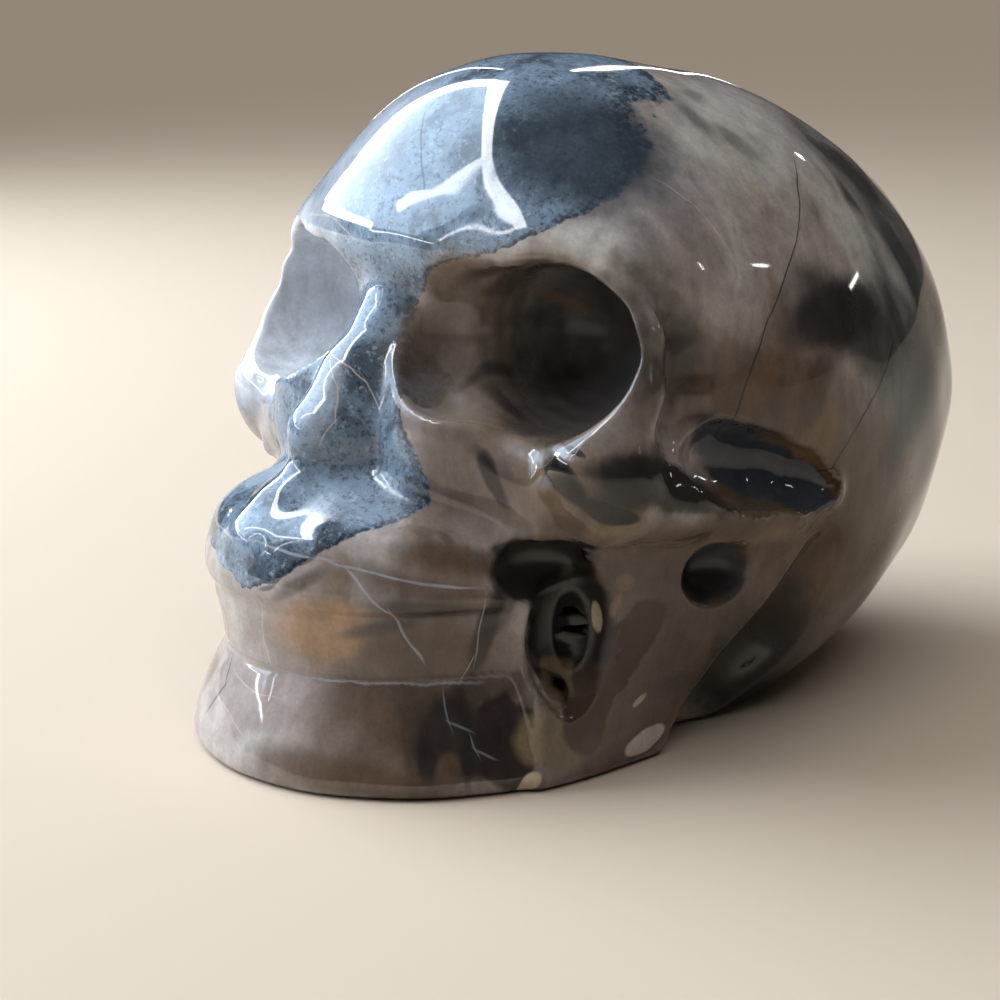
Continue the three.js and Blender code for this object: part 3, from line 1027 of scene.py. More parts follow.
SOCKET = (
    Patch(Tint.TAN, (19, -27, 44.5), (13.5, 11, 10.3), (0, 0, 0), 0.7, 0.2),
    # Partly darker stone, partly painted shade: these two lenses darken the deep inside of the eye socket.
    Patch(Tint.SMOKE, (20.5, -22, 44), (11.2, 11.5, 9.2), (0, 0, 0), 0.85, 0.25),
    Patch(Tint.SOOT, (21.5, -18.5, 43.5), (11.5, 11, 9.5), (0, 0, 0), 0.75, 0.25),
    Patch(Tint.TAN, (12.5, -15.5, 47.5), (3.3, 0.8, 3), (125, 20, 70), 0.6, 0.5),
    Patch(Tint.MAUVE, (8.5, -29, 41.5), (5.5, 4.6, 7), (0, 0, 0), 0.8, 0.6),
    Patch(Tint.SOOT, (16, -25, 49.5), (6, 0.9, 5), (10, 0, 15), 0.75, 0.4),
    Patch(Tint.SMOKE, (13, -27, 47), (0.8, 3.5, 6), (0, 25, 10), 0.7, 0.5),
    Patch(Tint.SOOT, (11.5, -24, 43), (0.7, 4, 6), (0, 15, -10), 0.7, 0.5),
    Patch(Tint.SOOT, (15, -24, 39.5), (4, 1, 5), (0, 30, 20), 0.7, 0.4),
    Patch(Tint.BLACK, (17, -21, 50), (4, 1.2, 4), (0, 20, 0), 0.6, 0.4),
)

MUZZLE_AND_JAW = (
    Patch(Tint.AMBER, (10, -45.5, 16.5), (5.2, 3.6, 5), (100, -10, 25), 0.8, 0.5),
    Patch(Tint.PEACH, (12.4, -44.2, 19.1), (1.8, 1, 3), (90, 5, 35), 0.6, 0.6),
    Patch(Tint.LEAF, (17.5, -38, 14.5), (6.5, 3.2, 4), (105, 5, 55), 0.8, 0.25),
    Patch(Tint.SMOKE, (16, -41, 17.5), (5.3, 0.8, 3), (95, -15, 45), 0.8, 0.5),
    Patch(Tint.SOOT, (18.5, -37.5, 19.5), (5.4, 0.9, 3), (90, 5, 55), 0.8, 0.5),
    Patch(Tint.SOOT, (21, -32, 16), (1.2, 5.2, 4), (100, 10, 85), 0.85, 0.3),
    Patch(Tint.LEAF, (18, -38, 21.5), (7.9, 1.3, 4), (75, 10, 50), 0.6, 0.5),
    Patch(Tint.UMBER, (18, -36, 24), (4.9, 1.6, 4), (60, 5, 55), 0.6, 0.6),
    Patch(Tint.SMOKE, (8.5, -46.2, 21.5), (3.3, 0.7, 3), (70, -30, 35), 0.6, 0.5),
    Patch(Tint.SOOT, (21.6, -31.2, 18.7), (1.8, 2.9, 3), (90, 10, 80), 0.7, 0.3),
    Patch(Tint.LILAC, (3.5, -48, 8), (9, 4.6, 6), (70, 0, 5), 0.85, 0.5),
    Patch(Tint.PEARL, (5.2, -49, 4.5), (4, 1.3, 4), (75, -20, 20), 0.6, 0.6),
    Patch(Tint.LILAC, (10.5, -46.5, 5.5), (5, 2.5, 5), (65, -5, 30), 0.6, 0.6),
    Patch(Tint.LEAF, (14, -43, 7), (6.1, 4.5, 6), (65, -5, 40), 0.7, 0.5),
    Patch(Tint.PLUM, (21, -34.5, 6.5), (7.6, 5.5, 8), (70, 5, 60), 0.95, 0.35),
    Patch(Tint.SOOT, (19.5, -39, 4.2), (0.9, 2.4, 3), (75, 0, 55), 0.8, 0.4),
    Patch(Tint.LEAF, (20.9, -37.2, 3.3), (1.3, 1.8, 3), (80, 5, 60), 0.7, 0.3),
    Patch(Tint.SOOT, (21, -35, 6), (0.6, 5, 3), (70, 0, 60), 0.7, 0.4),
    Patch(Tint.LEAF, (14, -45.5, 1.5), (6.3, 1.1, 5), (95, 0, 35), 0.5, 0.6),
    Patch(Tint.PLUM, (23, -31.5, 5.5), (2.9, 5.2, 5), (70, 0, 65), 0.95, 0.1),
    Patch(Tint.PLUM_BROWN, (13, -46, 3), (9.1, 1.6, 5), (75, 5, 30), 0.7, 0.5),
    Patch(Tint.UMBER, (13.5, -45.5, 2.5), (8.4, 1.6, 6), (75, 0, 35), 0.6, 0.5),
    Patch(Tint.EARTH, (25.5, -26.5, 4), (3.6, 1.1, 4), (80, -5, 85), 0.6, 0.4),
)

JAW_BRANCH = (
    Patch(Tint.PLUM_BROWN, (28, -12.5, 13.5), (3.3, 9.9, 6), (110, -5, 70), 0.8, 0.4),
    Patch(Tint.CREAM_DARK, (25, -26, 5.5), (5.2, 3.3, 5), (80, 0, 80), 0.9, 0.15),
    Patch(Tint.CREAM_DARK, (25.3, -21.8, 5.7), (1.9, 2.5, 4), (85, 25, 85), 0.8, 0.2),
    Patch(Tint.EARTH, (25.5, -20, 11.5), (9.3, 2.8, 5), (85, -55, 70), 0.95, 0.08),
    Patch(Tint.EARTH, (25.2, -23, 6), (2.7, 3.1, 4), (75, -5, 90), 0.9, 0.15),
    Patch(Tint.PLUM_BROWN, (26, -18.5, 2), (6.7, 1.5, 4), (100, -5, 90), 0.8, 0.3),
    Patch(Tint.OPAL, (25.6, -15, 2.5), (3, 1.1, 3), (90, -10, 95), 0.95, 0.1),
    Patch(Tint.CREAM, (25.6, -16, 7.2), (1, 0.4, 2), (95, -35, 85), 0.8, 0.2),
    Patch(Tint.CREAM, (24.3, -29.8, 1.1), (1.5, 0.9, 2), (120, -45, 35), 0.9, 0.15),
    Patch(Tint.SMOKE, (26.2, -11.8, 8.1), (2.7, 1.4, 3), (110, -5, 85), 0.6, 0.5),
    Patch(Tint.EARTH, (20, -25.5, 13), (1.6, 7, 3), (75, 10, 105), 0.7, 0.4),
    # Partly dark stone, partly painted shade: a black lens that fills the tall hollow in front of the jaw's
    # branch.
    Patch(Tint.BLACK, (24.6, -24, 16), (5.9, 4.3, 6.6), (0, 0, 0), 0.95, 0.1),
    Patch(Tint.CREAM_DARK, (21.6, -24, 10), (2.1, 2.8, 3), (55, 5, 70), 0.8, 0.15),
    Patch(Tint.TAN, (27.2, -19.6, 21), (1.1, 0.9, 2), (95, 5, 60), 0.7, 0.3),
    Patch(Tint.TAN, (26.6, -20, 18.6), (0.5, 1.5, 2), (100, 15, 55), 0.7, 0.3),
    Patch(Tint.CREAM, (24.4, -20.6, 17), (0.7, 1.7, 2), (100, 0, 15), 0.8, 0.15),
    # Partly dark stone, partly painted shade: dark blue and black lenses that fill the pit under the back
    # of the cheek arch.
    Patch(Tint.SOOT_BLUE_AND_SHEEN, (30.2, -9.7, 20.6), (5, 3.9, 3.4), (0, 0, 0), 0.92, 0.15),
    Patch(Tint.BLACK, (28, -9, 20), (3.6, 2.2, 2), (0, 0, 0), 0.9, 0.4),
)

FACE = (
    Patch(Tint.MILK_BLUE, (-14, -14, 60), (16, 20, 13), (0, 0, 0), 0.75, 0.25),
    Patch(Tint.DEEP_SLATE, (16.5, -17, 62), (10.5, 8, 9), (0, 40, 30), 0.92, 0.5),
    Patch(Tint.MILK_BLUE, (1.3, -37.8, 38.4), (1.7, 5, 4), (50, 0, 20), 0.5, 0.4),
    Patch(Tint.MILK_BLUE, (-26, -29.6, 35.5), (3.7, 3.3, 5), (50, -5, 20), 0.6, 0.6),
    # Partly the light lilac-grey stone, partly painted light: a pale lens that makes the far eye socket
    # look lit.
    Patch(Tint.FROST, (-24, -26, 45), (13.5, 16, 11), (0, 0, 0), 0.95, 0.2),
    Patch(Tint.MILK_BLUE, (-21, -21, 38), (12, 9, 5), (0, 0, 0), 0.35, 0.5),
    # Painted shadow: a dark crescent inside the far eye socket.
    Patch(Tint.SMOKE, (-11.5, -17, 44), (5.5, 8, 8), (0, 0, 0), 0.85, 0.35),
    Patch(Tint.LILAC, (-26, -27, 27), (8, 8, 6.5), (0, 0, 0), 0.9, 0.2),
)

BACK = (
    Patch(Tint.SOOT_BLUE_AND_SHEEN, (4, 44, 34), (14, 8, 9), (10, 20, 0), 0.7, 0.5),
    Patch(Tint.PEARL, (-10, 40, 48), (12, 8, 5), (20, -30, 10), 0.6, 0.5),
    Patch(Tint.SMOKE, (12, 42, 20), (10, 8, 6), (0, 30, 0), 0.6, 0.5),
    Patch(Tint.HONEY, (-6, 46, 22), (8, 6, 3), (0, -20, 20), 0.4, 0.6),
    Patch(Tint.ASH, (0, 20, 68), (9, 16, 5), (-15, 0, 20), 0.7, 0.5),
    Patch(Tint.SLATE, (-8, 6, 70), (10, 14, 6), (5, 0, -15), 0.7, 0.4),
    Patch(Tint.SOOT, (6, 26, 66), (1.2, 9, 4), (-25, 0, 25), 0.7, 0.4),
    Patch(Tint.SOOT, (-2, 34, 60), (1.2, 10, 5), (-40, 0, -15), 0.6, 0.4),
    Patch(Tint.PLUM_BROWN, (-18, 30, 12), (10, 12, 8), (0, 20, 30), 0.7, 0.5),
)

# The far side gets mirrored copies of the lower lenses, the braincase lenses and the first jaw lenses, with
# the painted shade in them.
FAR_SHIFT = (0.0, 5.0, -3.0)
FAR_SIDE = tuple(patch.across(FAR_SHIFT) for patch in LOWER_BROWNS_AND_SHADE[1:] + DOME + JAW_BRANCH[:8])

ROUGH_HOLLOWS = (
    Patch(Tint.BLACK, (8.5, -39, 29.5), (6.5, 3.4, 3.6), (0, 0, 25), edge=0.35),
    Patch(Tint.BLACK, (9.5, -31, 39), (4, 4, 5), edge=0.4),
    Patch(Tint.BLACK, (25, -24.5, 16), (6.4, 5.5, 8.5), edge=0.1),
    Patch(Tint.BLACK, (22.4, -26.2, 22.8), (6.5, 6, 4.2), edge=0.1),
    Patch(Tint.BLACK, (30.5, -9.9, 20.7), (5, 4.2, 3.7), edge=0.1),
    Patch(Tint.BLACK, (20.5, -19, 44), (11.5, 12, 9.5), edge=0.15),
)

VEINS = (
    Vein(Tint.MILK, ((-6.6, -45.2, 24.8), (3, -46, 25), (10.2, -43.8, 24.3), (16.2, -39.8, 22.6),
                     (20.2, -34.4, 21.5))),
    Vein(Tint.MILK, ((12.4, -43, 23.4), (14, -42.6, 21.6), (16.2, -40.8, 18.8), (16.7, -39.2, 15.1),
                     (17, -38.2, 13.3))),
    Vein(Tint.MILK, ((18.1, -36.8, 10), (19.6, -36.4, 7.2), (21, -35, 6.2), (21.9, -34.8, 4.5),
                     (22.8, -33.2, 3.6)),
         0.06, 0.4),
    # Painted highlight: a thin milky line along the crease under the teeth, standing for the window's
    # reflection in it.
    Vein(Tint.MILK, ((-3, -48.5, 13.6), (2, -47, 12), (6.2, -45.5, 11.2), (11.5, -42.4, 11.3),
                     (14.9, -38.7, 11.2),
                     (18.5, -32.6, 11)), 0.1, 0.7),
    Vein(Tint.PEARL, ((21.1, -33, 19.3), (20, -33.2, 13.6), (19.2, -34.2, 11.2)), 0.08, 0.5),
    Vein(Tint.SOOT, ((23.2, 7.6, 60.7), (28.5, 2.4, 53.8), (31.3, -4.8, 46), (30.9, -8, 39.7),
                     (30.3, -9.6, 35.9)), 0.1),
    Vein(Tint.BLACK, ((30.7, 16, 41.9), (32.3, 11.6, 37.5), (33.1, 6.8, 32.9),
                      (32.5, 3.2, 30.1)), 0.1, 0.9),
    Vein(Tint.OPAL, ((24.3, -13, 60), (26.9, -10.8, 57.8), (29.1, -9.4, 54.9), (30.3, -8.2, 52.1),
                     (30.6, -8.2, 49.5)),
         0.07, 0.5),
    Vein(Tint.SOOT, ((-4.4, -46.6, 10.6), (-3.5, -47.8, 8), (-6, -48.8, 4.5)), 0.12, 0.6),
    Vein(Tint.OPAL, ((-4.7, -48.4, 6.5), (-1.1, -49.4, 5.4), (1.8, -49.6, 4.3)), 0.06, 0.5),
    Vein(Tint.OPAL, ((-2.3, -47.4, 9.5), (4.1, -47.4, 8.8)), 0.06, 0.5),
    Vein(Tint.OPAL, ((-15.6, -26.4, 53.2), (-7.4, -28.2, 53.3), (-4.3, -28.6, 52)), 0.1, 0.6),
    Vein(Tint.DEEP_SLATE, ((-0.5, -23.2, 66.5), (3.6, -27, 61.8), (5.7, -28, 58.4),
                           (2.5, -28.8, 57.2)), 0.12, 0.6),
    Vein(Tint.OPAL, ((-0.4, -35.2, 41.7), (2.7, -35, 40.9), (4.3, -34.8, 39.8),
                     (6.1, -35, 37.3)), 0.08, 0.6),
    Vein(Tint.OPAL, ((-1, -34.8, 41.9), (2.3, -36.6, 39.1), (3.6, -38.4, 36.1),
                     (2.9, -39.8, 34)), 0.08, 0.6),
    Vein(Tint.PEARL, ((3.5, -48, 18.8), (2.9, -47.2, 14.4), (3.5, -46.8, 11.9)), 0.07, 0.5),
    Vein(Tint.SOOT, ((-4, 48, 44), (2, 48.5, 36), (0, 48, 28), (6, 46, 20)), 0.12, 0.7),
    Vein(Tint.OPAL, ((-20, 36, 46), (-14, 42, 40), (-12, 45, 32)), 0.08, 0.5),
    Vein(Tint.OPAL, ((5, 10, 71.5), (8, 20, 69), (6, 30, 64)), 0.08, 0.5),
    Vein(Tint.SOOT, ((-28, -6, 56), (-31, 0, 48), (-32, 4, 40), (-31, 12, 31)), 0.1, 0.7),
    Vein(Tint.INK, ((4.2, -47.8, 20.4), (5.7, -47.2, 21), (6.6, -46.6, 22.2), (7.9, -45.6, 23.5),
                    (9.2, -44.6, 24.2)),
         0.25, 0.6),
)


@dataclass(frozen=True)
class Zone:
    """A box of the stone. Its surface has a material with only the marks that reach into the box."""

    low: Triple
    high: Triple

    def holds(self, points: Array) -> Array:
        """Which of the points are inside."""
        return np.all((points >= self.low) & (points < self.high), axis=1)

    def meets(self, patch: Patch) -> bool:
        """Whether the patch reaches into the box."""
        centre, reach = np.array(patch.centre), patch.reach()
        return bool(np.all(centre + reach > self.low) and np.all(centre - reach < self.high))


def zones_between(x: Sequence[float], y: Sequence[float], z: Sequence[float]) -> tuple[Zone, ...]:
    """The boxes between upright and level cuts.

    Args:
        x: Where the cuts across are, with both ends.
        y: Where the cuts from front to back are, with both ends.
        z: Where the cuts from the base up are, with both ends.

    Returns:
        One zone for each box.
    """
    return tuple(
        Zone((x0, y0, z0), (x1, y1, z1))
        for x0, x1 in zip(x, x[1:])
        for y0, y1 in zip(y, y[1:])
        for z0, z1 in zip(z, z[1:])
    )


@dataclass(frozen=True)
class SlateFront:
    """The blue-grey front of the stone: how far it reaches sideways at each height, and its grain."""

    border: tuple[Pair, ...] = (
        (15.0, -39.0), (19.5, -39.0), (20.0, -7.0), (20.6, 4.0), (24.0, 9.3), (26.0, 11.5), (28.0, 13.3),
        (38.5, 9.5), (44.7, 5.3), (50.5, 7.5), (54.0, 17.0), (56.7, 21.6), (59.5, 23.3), (62.2, 21.5),
        (67.6, 16.3), (72.0, 12.0),
    )
    widest: float = 40.0
    back_y: float = -3.0
    back_slope: float = 0.25
    back_from: float = 14.0
    border_swirl: Triple = (1.3, 1.5, 4.0)
    edge: Pair = (-0.2, 0.25)
    far_lobes: Cloud = Cloud(16.0, 3.0, 0.55)
    far_reach: float = 60.0
    far_from: float = 6.0
    far_drop: float = 0.45
    far_spread: float = 15.0
    near_spread: float = 1.0
    drift: Cloud = Cloud(7.0, 3.0, 0.6)
    deep: Wash = Wash(Tint.DEEP_SLATE, 0.44, 0.66, 0.8)
    pale_grains: Cloud = Cloud(0.9, 3.0, 0.7)
    pale: Wash = Wash(Tint.SKY, 0.54, 0.7, 0.55)
    dark_grains: Cloud = Cloud(0.6, 3.0, 0.7)
    dark: Wash = Wash(Tint.INK, 0.5, 0.66, 0.55)
    rim: Pair = (1.9, 0.3)
    rim_grains: Wash = Wash(Tint.INK, 0.34, 0.52, 0.75)

    def meets(self, zone: Zone) -> bool:
        """Whether the slate reaches into the zone.

        Args:
            zone: A box of the stone.

        Returns:
            False only where none of it can show.
        """
        furthest = self.back_y - (max(zone.low[0], -self.widest) - self.back_from) * self.back_slope
        return zone.low[1] < furthest + (self.far_spread if zone.low[0] < 0.0 else self.near_spread)

    def reach(self, sheet: NodeSheet, places: Places) -> Signal:
        """How far inside the border each point is, in millimetres.

        Args:
            sheet: The material's nodes.
            places: The stone's coordinates.

        Returns:
            A distance, negative outside.
        """
        x, y, z = sheet.split(sheet.stirred(places.calm, *self.border_swirl))
        low, high = self.border[0][0], self.border[-1][0]
        cloud = self.far_lobes.at(sheet, places.calm)
        lobes = (cloud - 0.5) * self.far_reach * x.rise(self.far_from, -self.far_from)
        level = z + lobes * self.far_drop
        node = sheet.add("ShaderNodeFloatCurve", {}, {"Value": (level - low) / (high - low)})
        curve = node.mapping.curves[0]
        while len(curve.points) < len(self.border):
            curve.points.new(0.5, 0.5)
        for point, (height, side) in zip(curve.points, self.border):
            point.location = ((height - low) / (high - low), (side + self.widest) / (2.0 * self.widest))
            point.handle_type = "AUTO"
        node.mapping.update()
        side = Signal(sheet, node.outputs["Value"]) * (2.0 * self.widest) - self.widest
        back = self.back_y - y - (x - self.back_from) * self.back_slope
        return (side - x).least(back + lobes)

    def lay(self, sheet: NodeSheet, places: Places, ground: Socket) -> Socket:
        """Lay the slate over the ground.

        Args:
            sheet: The material's nodes.
            places: The stone's coordinates.
            ground: The colour below.

        Returns:
            The colour with the slate on it.
        """
        inside = self.reach(sheet, places)
        dark_grains = self.dark_grains.at(sheet, places.calm)
        slate = self.deep.over(sheet, Tint.SLATE.rgba, self.drift.at(sheet, places.stirred))
        slate = self.pale.over(sheet, slate, self.pale_grains.at(sheet, places.plain))
        slate = self.dark.over(sheet, slate, dark_grains)
        rimmed = self.rim_grains.over(sheet, slate, dark_grains)
        slate = sheet.mix(slate, rimmed, inside.rise(*self.rim))
        return sheet.mix(ground, slate, inside.rise(*self.edge))


@dataclass(frozen=True)
class AgateFinish:
    """Polished volcano agate: clouds, a slate front, lenses, smoke and veins, under a high gloss."""

    origin_y: float = 0.72
    gloss: float = 0.06
    index: float = 1.54
    front: SlateFront = SlateFront()
    under_front: tuple[Patch, ...] = LOWER_BROWNS_AND_SHADE + FAR_SIDE + BACK + DOME + CHEEK + MUZZLE_AND_JAW + JAW_BRANCH
    over_front: tuple[Patch, ...] = FACE + SOCKET
    veins: tuple[Vein, ...] = VEINS
    dull: tuple[Patch, ...] = ROUGH_HOLLOWS + tuple(
        patch.across((0.0, 0.0, 0.0)) for patch in ROUGH_HOLLOWS
    )
    hollow_roughness: float = 0.28
    layer_turn: Triple = (35.0, -20.0, 0.0)
    layer_scale: Triple = (0.35, 1.0, 0.35)
    drift: Cloud = Cloud(7.0, 4.0, 0.55, 0.4)
    light_layers: Wash = Wash(Tint.PEARL, 0.5, 0.68, 0.6)
    brown_layers: Wash = Wash(Tint.TAN, 0.48, 0.32, 0.7)
    veil: Cloud = Cloud(11.0, 3.0, 0.5)
    veils: Wash = Wash(Tint.MAUVE, 0.54, 0.72, 0.7)
    wisps: Cloud = Cloud(2.2, 4.0, 0.6)
    smoke: Wash = Wash(Tint.SMOKE, 0.56, 0.78, 0.25)
    streak_turn: Triple = (38.0, 0.0, 15.0)
    streak_scale: Triple = (1.0, 1.0, 0.3)
    streaks: Cloud = Cloud(1.9, 4.0, 0.6)
    cloudlets: Cloud = Cloud(2.6, 3.0, 0.6)
    grains: Cloud = Cloud(0.4, 1.0, 0.7)
    contrast: Triple = (0.76, 0.6, 0.28)

    def places(self, sheet: NodeSheet) -> Places:
        """The stone's own coordinates, as the figure reads them.

        Args:
            sheet: The material's nodes.

        Returns:
            The coordinates, plain and moved about.
        """
        coordinates = sheet.add("ShaderNodeTexCoord", {}, ()).outputs["Object"]
        millimetres = sheet.scaled(coordinates, 1.0 / MM)
        plain = sheet.vector("SUBTRACT", millimetres, (0.0, self.origin_y, 0.0))
        calm = sheet.stirred(plain, *Stir.CALM.swirl)
        stirred = sheet.stirred(calm, *Stir.STIRRED.swirl)
        return Places(plain, calm, stirred, sheet.stirred(stirred, *Stir.WILD.swirl))

    def ground(self, sheet: NodeSheet, places: Places) -> Socket:
        """The lilac-brown body of the stone, in drifting sheets of lighter and darker colour.

        Args:
            sheet: The material's nodes.
            places: The stone's coordinates.

        Returns:
            The body's colour.
        """
        layers = sheet.stretched(places.stirred, self.layer_turn, self.layer_scale)
        drift = self.drift.at(sheet, layers)
        colour = self.light_layers.over(sheet, Tint.LILAC.rgba, drift)
        colour = self.brown_layers.over(sheet, colour, drift)
        colour = self.veils.over(sheet, colour, self.veil.at(sheet, places.stirred))
        return self.smoke.over(sheet, colour, self.wisps.at(sheet, layers))

    def mottle(self, sheet: NodeSheet, places: Places, colour: Socket) -> Socket:
        """Lighten and darken a colour unevenly, in streaks, in cloudlets and in grains.

        Args:
            sheet: The material's nodes.
            places: The stone's coordinates.
            colour: The colour so far.

        Returns:
            The uneven colour.
        """
        streaked = sheet.stretched(places.calm, self.streak_turn, self.streak_scale)
        clouds = (self.streaks, streaked), (self.cloudlets, places.stirred), (self.grains, places.plain)
        uneven = [1.0 - depth / 2.0 + cloud.at(sheet, place) * depth
                  for (cloud, place), depth in zip(clouds, self.contrast)]
        return sheet.scaled(colour, uneven[0] * uneven[1] * uneven[2])

    def dress(self, name: str, zone: Zone) -> bpy.types.Material:
        """Build the material of one zone.

        Args:
            name: The material's name.
            zone: The part of the stone that wears it.

        Returns:
            The material.
        """
        material = bpy.data.materials.new(name)
        sheet = NodeSheet(material)
        places = self.places(sheet)
        colour = self.ground(sheet, places)
        for patch in filter(zone.meets, self.under_front):
            colour = patch.cover_on(sheet, places, colour)
        if self.front.meets(zone):
            colour = self.front.lay(sheet, places, colour)
        lenses = tuple(lens for vein in self.veins for lens in vein.lenses())
        for patch in filter(zone.meets, self.over_front + lenses):
            colour = patch.cover_on(sheet, places, colour)
        rough: Plug = 0.0
        for hollow in filter(zone.meets, self.dull):
            rough = hollow.share(sheet, places).most(rough)
        shader = sheet.add("ShaderNodeBsdfPrincipled", {}, {
            "Base Color": self.mottle(sheet, places, colour),
            "Roughness": self.gloss + rough * self.hollow_roughness,
            "IOR": self.index,
        })
        sheet.add("ShaderNodeOutputMaterial", {}, {"Surface": shader.outputs["BSDF"]})
        return material


@dataclass
class CarvedSkull:
    """The one piece: the skull with its fine carving, standing for the plain solid."""

    form: SkullForm = field(default_factory=SkullForm)
    cuts: int = 3
    quick_cuts: int = 1
    merge_under: float = 0.01
    finish: AgateFinish = field(default_factory=AgateFinish)
    zones: tuple[Zone, ...] = (
        zones_between((0.0, 80.0), (-80.0, -22.0, 2.0, 80.0), (-10.0, 23.0, 40.0, 90.0))
        + zones_between((-80.0, 0.0), (-80.0, -12.0, 13.0, 80.0), (-10.0, 36.0, 90.0))
    )

    def shell(self) -> bpy.types.Mesh:
        """A merged copy of the solid's mesh, divided more finely.

        Returns:
            The mesh, in metres.
        """
        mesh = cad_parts[NODE].data.copy()
        work = bmesh.new()
        work.from_mesh(mesh)
        bmesh.ops.remove_doubles(work, verts=work.verts, dist=self.merge_under * MM)
        cuts = self.cuts
        bmesh.ops.subdivide_edges(work, edges=work.edges, cuts=cuts, use_grid_fill=True)
        bmesh.ops.triangulate(work, faces=work.faces)
        work.to_mesh(mesh)
        work.free()
        return mesh

    def shift(self) -> Array:
        """Where the form's own origin stands in the frame, in millimetres."""
        back = self.form.cranium.centre[1] + self.form.cranium.reach[1]
        return np.array([0.0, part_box(NODE)[1].y / MM - back, 0.0])

    def dress(self, mesh: bpy.types.Mesh, middles: Array) -> None:
        """Give each face the material of its zone.

        Args:
            mesh: The skull's mesh.
            middles: The middle of each face, in the form's millimetres.
        """
        mesh.materials.clear()
        worn = np.zeros(len(middles), np.int32)
        for index, zone in enumerate(self.zones):
            mesh.materials.append(self.finish.dress(f"volcano_agate_{index + 1}", zone))
            worn[zone.holds(middles)] = index
        mesh.polygons.foreach_set("material_index", worn)

    def build(self) -> bpy.types.Object:
        """Make the piece.

        Returns:
            The skull, in the frame, in metres.
        """
        mesh = self.shell()
        mesh.name = "agate_skull"
        triangles = np.empty(len(mesh.polygons) * 3, np.int32)
        mesh.polygons.foreach_get("vertices", triangles)
        flat = np.empty(len(mesh.vertices) * 3)
        mesh.vertices.foreach_get("co", flat)
        shift = self.shift()
        points = flat.reshape(-1, 3) / MM - shift
        points, outward = Carving(self.form, triangles.reshape(-1, 3)).settle(points)
        mesh.vertices.foreach_set("co", ((points + shift) * MM).ravel())
        mesh.update()
        mesh.shade_smooth()
        mesh.normals_split_custom_set_from_vertices(outward)
        self.dress(mesh, points[triangles.reshape(-1, 3)].mean(axis=1))
        skull = bpy.data.objects.new("agate_skull", mesh)
        bpy.context.scene.collection.objects.link(skull)
        return skull


@dataclass(frozen=True)
class SoftBox:
    """A flat studio light that faces a point over the floor."""

    name: str
    azimuth: float
    elevation: float
    distance: float
    size: Pair
    power: float
    colour: Triple = (1.0, 1.0, 1.0)
    aim: Triple = (0.0, 0.0, 0.035)
    shift: Pair = (0.0, 0.0)
    lean: float = 0.0
    mirrored: bool = True
    lights_up: bool = True

    def hang(self) -> bpy.types.Object:
        """Make the light.

        Returns:
            The lamp, facing its aim.
        """
        light = bpy.data.lights.new(self.name, "AREA")
        light.shape = "RECTANGLE"
        light.size, light.size_y = self.size
        light.energy = self.power
        light.color = self.colour
        lamp = bpy.data.objects.new(self.name, light)
        back = direction(self.azimuth, self.elevation)
        lamp.rotation_mode = "QUATERNION"
        facing = back.to_track_quat("Z", "Y")
        lamp.rotation_quaternion = facing @ Euler((0.0, 0.0, math.radians(-self.lean))).to_quaternion()
        lamp.location = Vector(self.aim) + back * self.distance + facing @ Vector((*self.shift, 0.0))
        lamp.visible_camera = False
        lamp.visible_glossy = self.mirrored
        lamp.visible_diffuse = self.lights_up
        bpy.context.scene.collection.objects.link(lamp)
        return lamp


@dataclass(frozen=True)
class OpenSky:
    """An even, very soft light from above, which isn't mirrored in the polish."""

    name: str = "sky_fill"
    azimuth: float = 40.0
    elevation: float = 75.0
    strength: float = 1.5
    spread: float = 60.0
    colour: Triple = (1.0, 0.96, 0.92)

    def hang(self) -> bpy.types.Object:
        """Make the light.

        Returns:
            The lamp.
        """
        light = bpy.data.lights.new(self.name, "SUN")
        light.energy = self.strength
        light.angle = math.radians(self.spread)
        light.color = self.colour
        lamp = bpy.data.objects.new(self.name, light)
        lamp.rotation_mode = "QUATERNION"
        lamp.rotation_quaternion = direction(self.azimuth, self.elevation).to_track_quat("Z", "Y")
        lamp.visible_glossy = False
        bpy.context.scene.collection.objects.link(lamp)
        return lamp


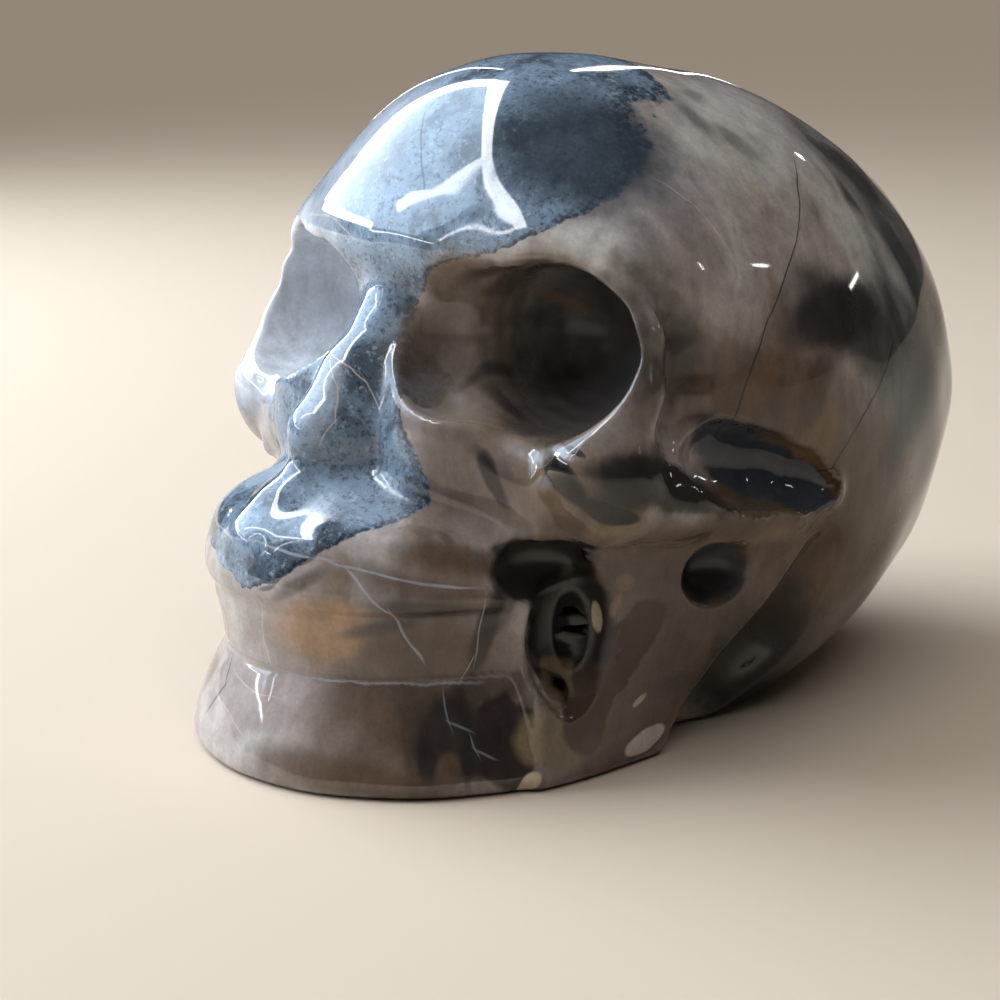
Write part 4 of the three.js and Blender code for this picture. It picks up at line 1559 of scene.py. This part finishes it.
@dataclass(frozen=True)
class MirroredWindow:
    """A window that only the polish shows, with each part as a light: glass, curtain and bright frame."""

    azimuth: float = -57.0
    elevation: float = 30.0
    distance: float = 0.55
    bar_gap: float = 0.01
    curtain_gap: float = 0.005
    glass: Triple = (0.62, 0.8, 1.0)
    bars: Triple = (0.9, 0.95, 1.0)

    def part(self, name: str, size: Pair, shift: Pair, radiance: float,
             lean: float = 0.0) -> SoftBox:
        """One part of the window.

        Args:
            name: The light's name. A bar hangs before the curtain, and the curtain before the pane.
            size: Its width and height, in metres.
            shift: How far right and up of the window's middle it hangs.
            radiance: How bright it looks.
            lean: How far its top leans to the right, in degrees.

        Returns:
            The light.
        """
        power = radiance * math.pi * size[0] * size[1]
        colour = self.bars if "bar" in name else self.glass
        nearer = self.bar_gap if "bar" in name else self.curtain_gap if "curtain" in name else 0.0
        return SoftBox(name, self.azimuth, self.elevation, self.distance - nearer, size, power, colour,
                       shift=shift, lean=lean, lights_up=False)

    def parts(self) -> tuple[SoftBox, ...]:
        """All the window's lights.

        Returns:
            The pane, the curtain, then the bars.
        """
        return (
            self.part("window_pane", (0.56, 0.47), (-0.03, 0.07), 5.0),
            self.part("window_curtain", (0.15, 0.56), (0.235, 0.0), 0.35, 18.0),
            self.part("window_bar_left", (0.085, 0.50), (-0.33, 0.09), 18.0),
            self.part("window_bar_middle", (0.035, 0.36), (0.18, 0.13), 12.0, 22.0),
            self.part("window_bar_edge", (0.012, 0.42), (0.30, 0.07), 14.0, -10.0),
            self.part("window_bar_top", (0.64, 0.085), (-0.04, 0.33), 16.0, 5.0),
            self.part("window_bar_foot", (0.36, 0.05), (-0.15, -0.165), 18.0),
            self.part("window_bar_sill", (0.32, 0.016), (0.17, -0.2), 14.0),
        )


def direction(azimuth: float, elevation: float) -> Vector:
    """The way out from the object, 0 in front of the face and 90 on its left, in degrees."""
    a, e = math.radians(azimuth), math.radians(elevation)
    return Vector((math.sin(a) * math.cos(e), -math.cos(a) * math.cos(e), math.sin(e)))


@dataclass(frozen=True)
class PhotoCamera:
    """The camera at the photograph's angle."""

    azimuth: float = 50.7
    elevation: float = 14.2
    distance: float = 229.0
    aim: Triple = (0.0, 0.72, 38.0)
    aside: Pair = (-10.5, -16.5)
    lens: float = 72.0
    sensor: float = 36.0
    nearest: float = 0.01

    def place(self) -> bpy.types.Object:
        """Make the camera and look through it.

        Returns:
            The camera.
        """
        data = bpy.data.cameras.new("photo_camera")
        data.lens = self.lens
        data.sensor_width = self.sensor
        data.clip_start = self.nearest
        camera = bpy.data.objects.new("photo_camera", data)
        back = direction(self.azimuth, self.elevation)
        turn = (-back).to_track_quat("-Z", "Y")
        place = Vector(self.aim) + back * self.distance + turn @ Vector((*self.aside, 0.0))
        camera.location = place * MM
        camera.rotation_mode = "QUATERNION"
        camera.rotation_quaternion = turn
        bpy.context.scene.collection.objects.link(camera)
        bpy.context.scene.camera = camera
        return camera


@dataclass(frozen=True)
class Studio:
    """A plain pale floor, a dim room and soft lights."""

    floor_half: float = 60.0
    floor_tint: str = "C9BDAE"
    floor_roughness: float = 0.9
    room_tint: str = "8C8781"
    room_strength: float = 0.14
    sky: OpenSky = OpenSky()
    window: MirroredWindow = MirroredWindow()
    lights: tuple[SoftBox, ...] = (
        SoftBox("window_glow", -57.0, 30.0, 0.56, (0.62, 0.64), 8.5, (0.86, 0.93, 1.0), mirrored=False),
        SoftBox("rear_strip", 158.0, 17.0, 0.6, (0.09, 0.012), 0.05, lights_up=False),
        SoftBox("side_strip", 126.0, 22.0, 0.6, (0.012, 0.07), 0.05, lights_up=False),
        SoftBox("back_bulb", -174.0, 31.0, 0.7, (0.016, 0.016), 0.05, lights_up=False),
        SoftBox("crown_strip", -138.0, 20.0, 0.8, (0.01, 0.5), 0.2, (0.95, 0.97, 1.0), lights_up=False),
        SoftBox("brow_strip", -120.0, 20.0, 0.8, (0.01, 0.5), 0.2, (0.95, 0.97, 1.0), lights_up=False),
    )

    def set_up(self) -> None:
        """Lay the floor, tone the room and hang the lights."""
        work = bmesh.new()
        bmesh.ops.create_grid(work, x_segments=1, y_segments=1, size=self.floor_half)
        mesh = bpy.data.meshes.new("floor")
        work.to_mesh(mesh)
        work.free()
        material = bpy.data.materials.new("pale_floor")
        sheet = NodeSheet(material)
        shader = sheet.add("ShaderNodeBsdfPrincipled", {}, {
            "Base Color": linear(self.floor_tint),
            "Roughness": self.floor_roughness,
            "Specular IOR Level": 0.0,
        })
        sheet.add("ShaderNodeOutputMaterial", {}, {"Surface": shader.outputs["BSDF"]})
        mesh.materials.append(material)
        floor = bpy.data.objects.new("floor", mesh)
        bpy.context.scene.collection.objects.link(floor)
        world = bpy.data.worlds.new("room")
        world.use_nodes = True
        background = world.node_tree.nodes["Background"]
        background.inputs["Color"].default_value = linear(self.room_tint)
        background.inputs["Strength"].default_value = self.room_strength
        bpy.context.scene.world = world
        bpy.context.scene.view_settings.view_transform = "Standard"
        self.sky.hang()
        for box in self.window.parts() + self.lights:
            box.hang()


def main() -> None:
    """Build the camera, the studio and the skull, and report each piece."""
    logging.basicConfig(level=logging.INFO, format="%(name)s: %(message)s")
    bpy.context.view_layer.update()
    PhotoCamera().place()
    Studio().set_up()
    skull = CarvedSkull().build()
    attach(skull, "root")
    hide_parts(NODE)
    log.info("%s: %d triangles", skull.name, len(skull.data.polygons))


if __name__ == "__main__":
    main()
